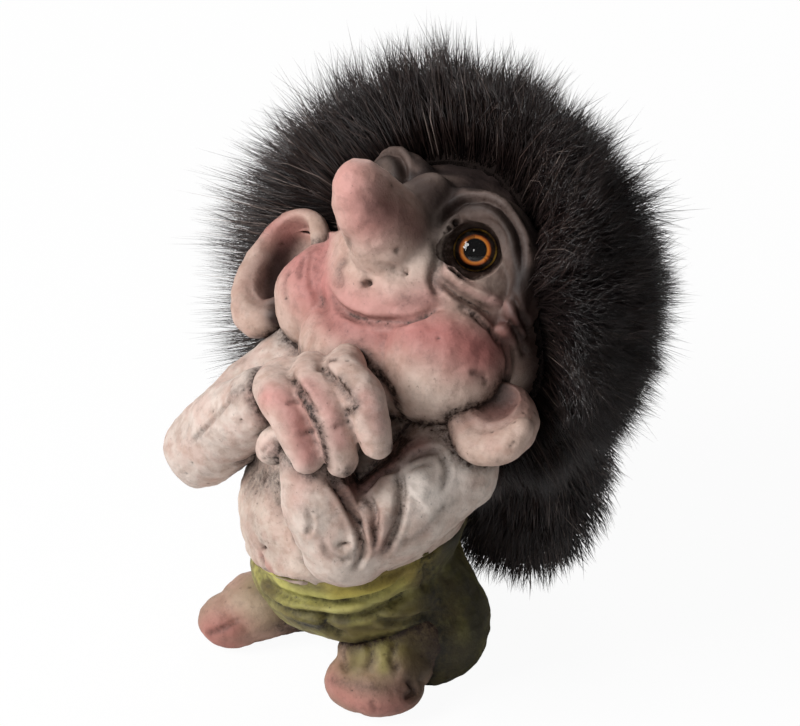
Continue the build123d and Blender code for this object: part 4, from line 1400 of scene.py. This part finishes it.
def nape_undercoat(wool):
    """The dense core of the fall down the back, uneven like brushed wool."""
    core = bmesh.new()
    egg(core, tuple(NAPE_CENTRE), tuple(NAPE_CORE + NAPE_GROWTH))
    nape = Sculpt(fused("nape_undercoat", core, NAPE_VOXEL, 2))
    for size, height, seed in NAPE_LUMPS:
        nape.lumps(size, height, seed)
    nape.refresh()
    nape.mesh.transform(TO_FRAME)
    nape.mesh.materials.clear()
    bpy.context.scene.collection.objects.unlink(nape.piece)
    dressed(nape.piece, wool, "long_pile", "nape_fur")


def hair():
    """The fur wig: its knitted backing, the dense undercoat, and the long fibres panel by panel."""
    look = pile()
    wool = undercoat_look("undercoat", "#1a1311", WOOL)
    knit = undercoat_look("knitted_backing", "#1d1715", KNIT)
    shell("cap", 0.04, 0.0, knit, "knitted_backing", "wig_cap")
    shell("undercoat", 0.5, 0.22, wool, "long_pile", "crown_fur", "left_fur", "right_fur", "back_fur")
    nape_undercoat(wool)
    for name, (count, seed, node) in PANELS.items():
        panel_hair(name, count, seed, look, node)
    side_hair(look)
    nape_hair(look)


# Eyes and their looks

AMBER_RINGS_AND_PAINTED_RIM = (
    (0.5, "#7a3a0c"),
    (0.57, "#d9852a"),
    (0.64, "#b8590f"),
    (0.72, "#1c0e07"),
    (0.86, "#160b06"),
    # Painted light: the gold ring stands for the amber refracted at the glass's rim
    (0.91, "#c9a040"),
)


def clear_glass():
    """Lamp-worked crown glass: what is behind it shows through, under a sharp reflection at its rim."""
    made, tree, _ = material("clear_glass")
    clear = add(tree, "ShaderNodeBsdfTransparent")
    gleam = add(tree, "ShaderNodeBsdfGlossy", Roughness=0.03)
    facing = add(tree, "ShaderNodeFresnel", IOR=1.5)
    dome = add(tree, "ShaderNodeMixShader", [("Fac", facing, "Fac"), (1, clear, 0), (2, gleam, 0)])
    tree.links.new(dome.outputs[0], tree.nodes["Material Output"].inputs["Surface"])
    return made


def black_glass():
    """Black fused glass of the pupil and of the eye's back: nearly no colour, glossy."""
    made, _, shader = material("black_glass")
    shader.inputs["Base Color"].default_value = (*linear("#050404"), 1)
    shader.inputs["Roughness"].default_value = 0.15
    return made


def steel_wire():
    """Drawn steel wire of the stem: a grey metal with a dull sheen."""
    made, _, shader = material("steel_wire")
    shader.inputs["Base Color"].default_value = (*linear("#a8a49c"), 1)
    shader.inputs["Metallic"].default_value = 1.0
    shader.inputs["Roughness"].default_value = 0.4
    return made


def amber_enamel_and_painted_rim(label, side):
    """Fired enamel under the glass: an orange ring in a nearly black iris, and outside a thin gold ring of
    painted refraction.
    """
    made, tree, shader = material(f"{label}_amber_enamel_and_painted_rim")
    place = add(tree, "ShaderNodeTexCoord")
    away = add(tree, "ShaderNodeVectorMath", [(0, place, "Object")], operation="DISTANCE")
    away.inputs[1].default_value = TO_FRAME @ eye_matrix(side).translation
    share = add(tree, "ShaderNodeMath", [(0, away, "Value")], operation="DIVIDE")
    share.inputs[1].default_value = EYE_RADIUS * MM
    rings = ramp(tree, share, "Value", AMBER_RINGS_AND_PAINTED_RIM)
    tree.links.new(rings.outputs["Color"], shader.inputs["Base Color"])
    shader.inputs["Roughness"].default_value = 0.3
    return made


def eyes():
    """The glass eyes keep their shapes from the frame and get their looks."""
    glass, black, wire = clear_glass(), black_glass(), steel_wire()
    for label, side in (("left", 1), ("right", -1)):
        amber = amber_enamel_and_painted_rim(label, side)
        looks = {"glass": glass, "iris": amber, "pupil": black, "back": black, "wire": wire}
        for part, look in looks.items():
            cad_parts[f"{label}_eye_{part}"].material_slots[0].material = look


# Floor and light, in metres

FLOOR_REACH = 2
FLOOR_DROP = 0.0002
FLOOR_GLOW = 0.95
LAMP_DISTANCE = 0.8
WORLD_LIGHT = 0.1


def floor_look():
    """Pale studio paper, matt, which the camera sees nearly white while it still catches soft shadows."""
    made, tree, shader = material("floor")
    shader.inputs["Base Color"].default_value = (*linear("#f4f4f4"), 1)
    shader.inputs["Roughness"].default_value = 0.9
    white = add(tree, "ShaderNodeEmission")
    white.inputs["Color"].default_value = (1, 1, 1, 1)
    view = add(tree, "ShaderNodeLightPath")
    glow = add(tree, "ShaderNodeMath", [(0, view, "Is Camera Ray")], operation="MULTIPLY")
    glow.inputs[1].default_value = FLOOR_GLOW
    blend = add(tree, "ShaderNodeMixShader", [("Fac", glow, "Value"), (1, shader, 0), (2, white, 0)])
    tree.links.new(blend.outputs[0], tree.nodes["Material Output"].inputs["Surface"])
    return made


def stage():
    """A pale floor and soft studio light from the left and ahead."""
    mesh = bpy.data.meshes.new("floor")
    far = FLOOR_REACH
    mesh.from_pydata([(-far, -far, 0), (far, -far, 0), (far, far, 0), (-far, far, 0)], [], [(0, 1, 2, 3)])
    floor = bpy.data.objects.new("floor", mesh)
    floor.location.z = -FLOOR_DROP
    mesh.materials.append(floor_look())
    bpy.context.scene.collection.objects.link(floor)
    right, up, back = camera_axes()
    for name, aim, power, size in (
        ("key", -right * 0.82 + up * 0.42 + back * 0.6, 6.9, 0.4),
        ("top", right * 0.1 + up * 0.9 - back * 0.5, 2.6, 0.5),
        ("catch", -right * 0.14 - up * 0.03 + back * 1.0, 0.7, 0.14),
    ):
        data = bpy.data.lights.new(name, "AREA")
        data.energy = power
        data.size = size
        lamp = bpy.data.objects.new(name, data)
        lamp.location = TO_FRAME @ Vector(CAMERA_TARGET) + aim.normalized() * LAMP_DISTANCE
        lamp.rotation_mode = "QUATERNION"
        lamp.rotation_quaternion = (-aim).to_track_quat("-Z", "Y")
        bpy.context.scene.collection.objects.link(lamp)


def surroundings():
    """White to the camera, and a faint even light on the figure."""
    world = bpy.data.worlds.new("world")
    bpy.context.scene.world = world
    world.use_nodes = True
    tree = world.node_tree
    light = tree.nodes["Background"]
    light.inputs["Color"].default_value = (1, 1, 1, 1)
    light.inputs["Strength"].default_value = WORLD_LIGHT
    seen = add(tree, "ShaderNodeBackground")
    seen.inputs["Color"].default_value = (1, 1, 1, 1)
    path = add(tree, "ShaderNodeLightPath")
    mix = add(tree, "ShaderNodeMixShader", [("Fac", path, "Is Camera Ray"), (1, light, 0), (2, seen, 0)])
    tree.links.new(mix.outputs[0], tree.nodes["World Output"].inputs["Surface"])


castings()
hair()
eyes()
stage()
surroundings()
make_camera()
scene = bpy.context.scene
scene.render.resolution_x, scene.render.resolution_y = IMAGE_SIZE
scene.view_settings.view_transform = "Standard"
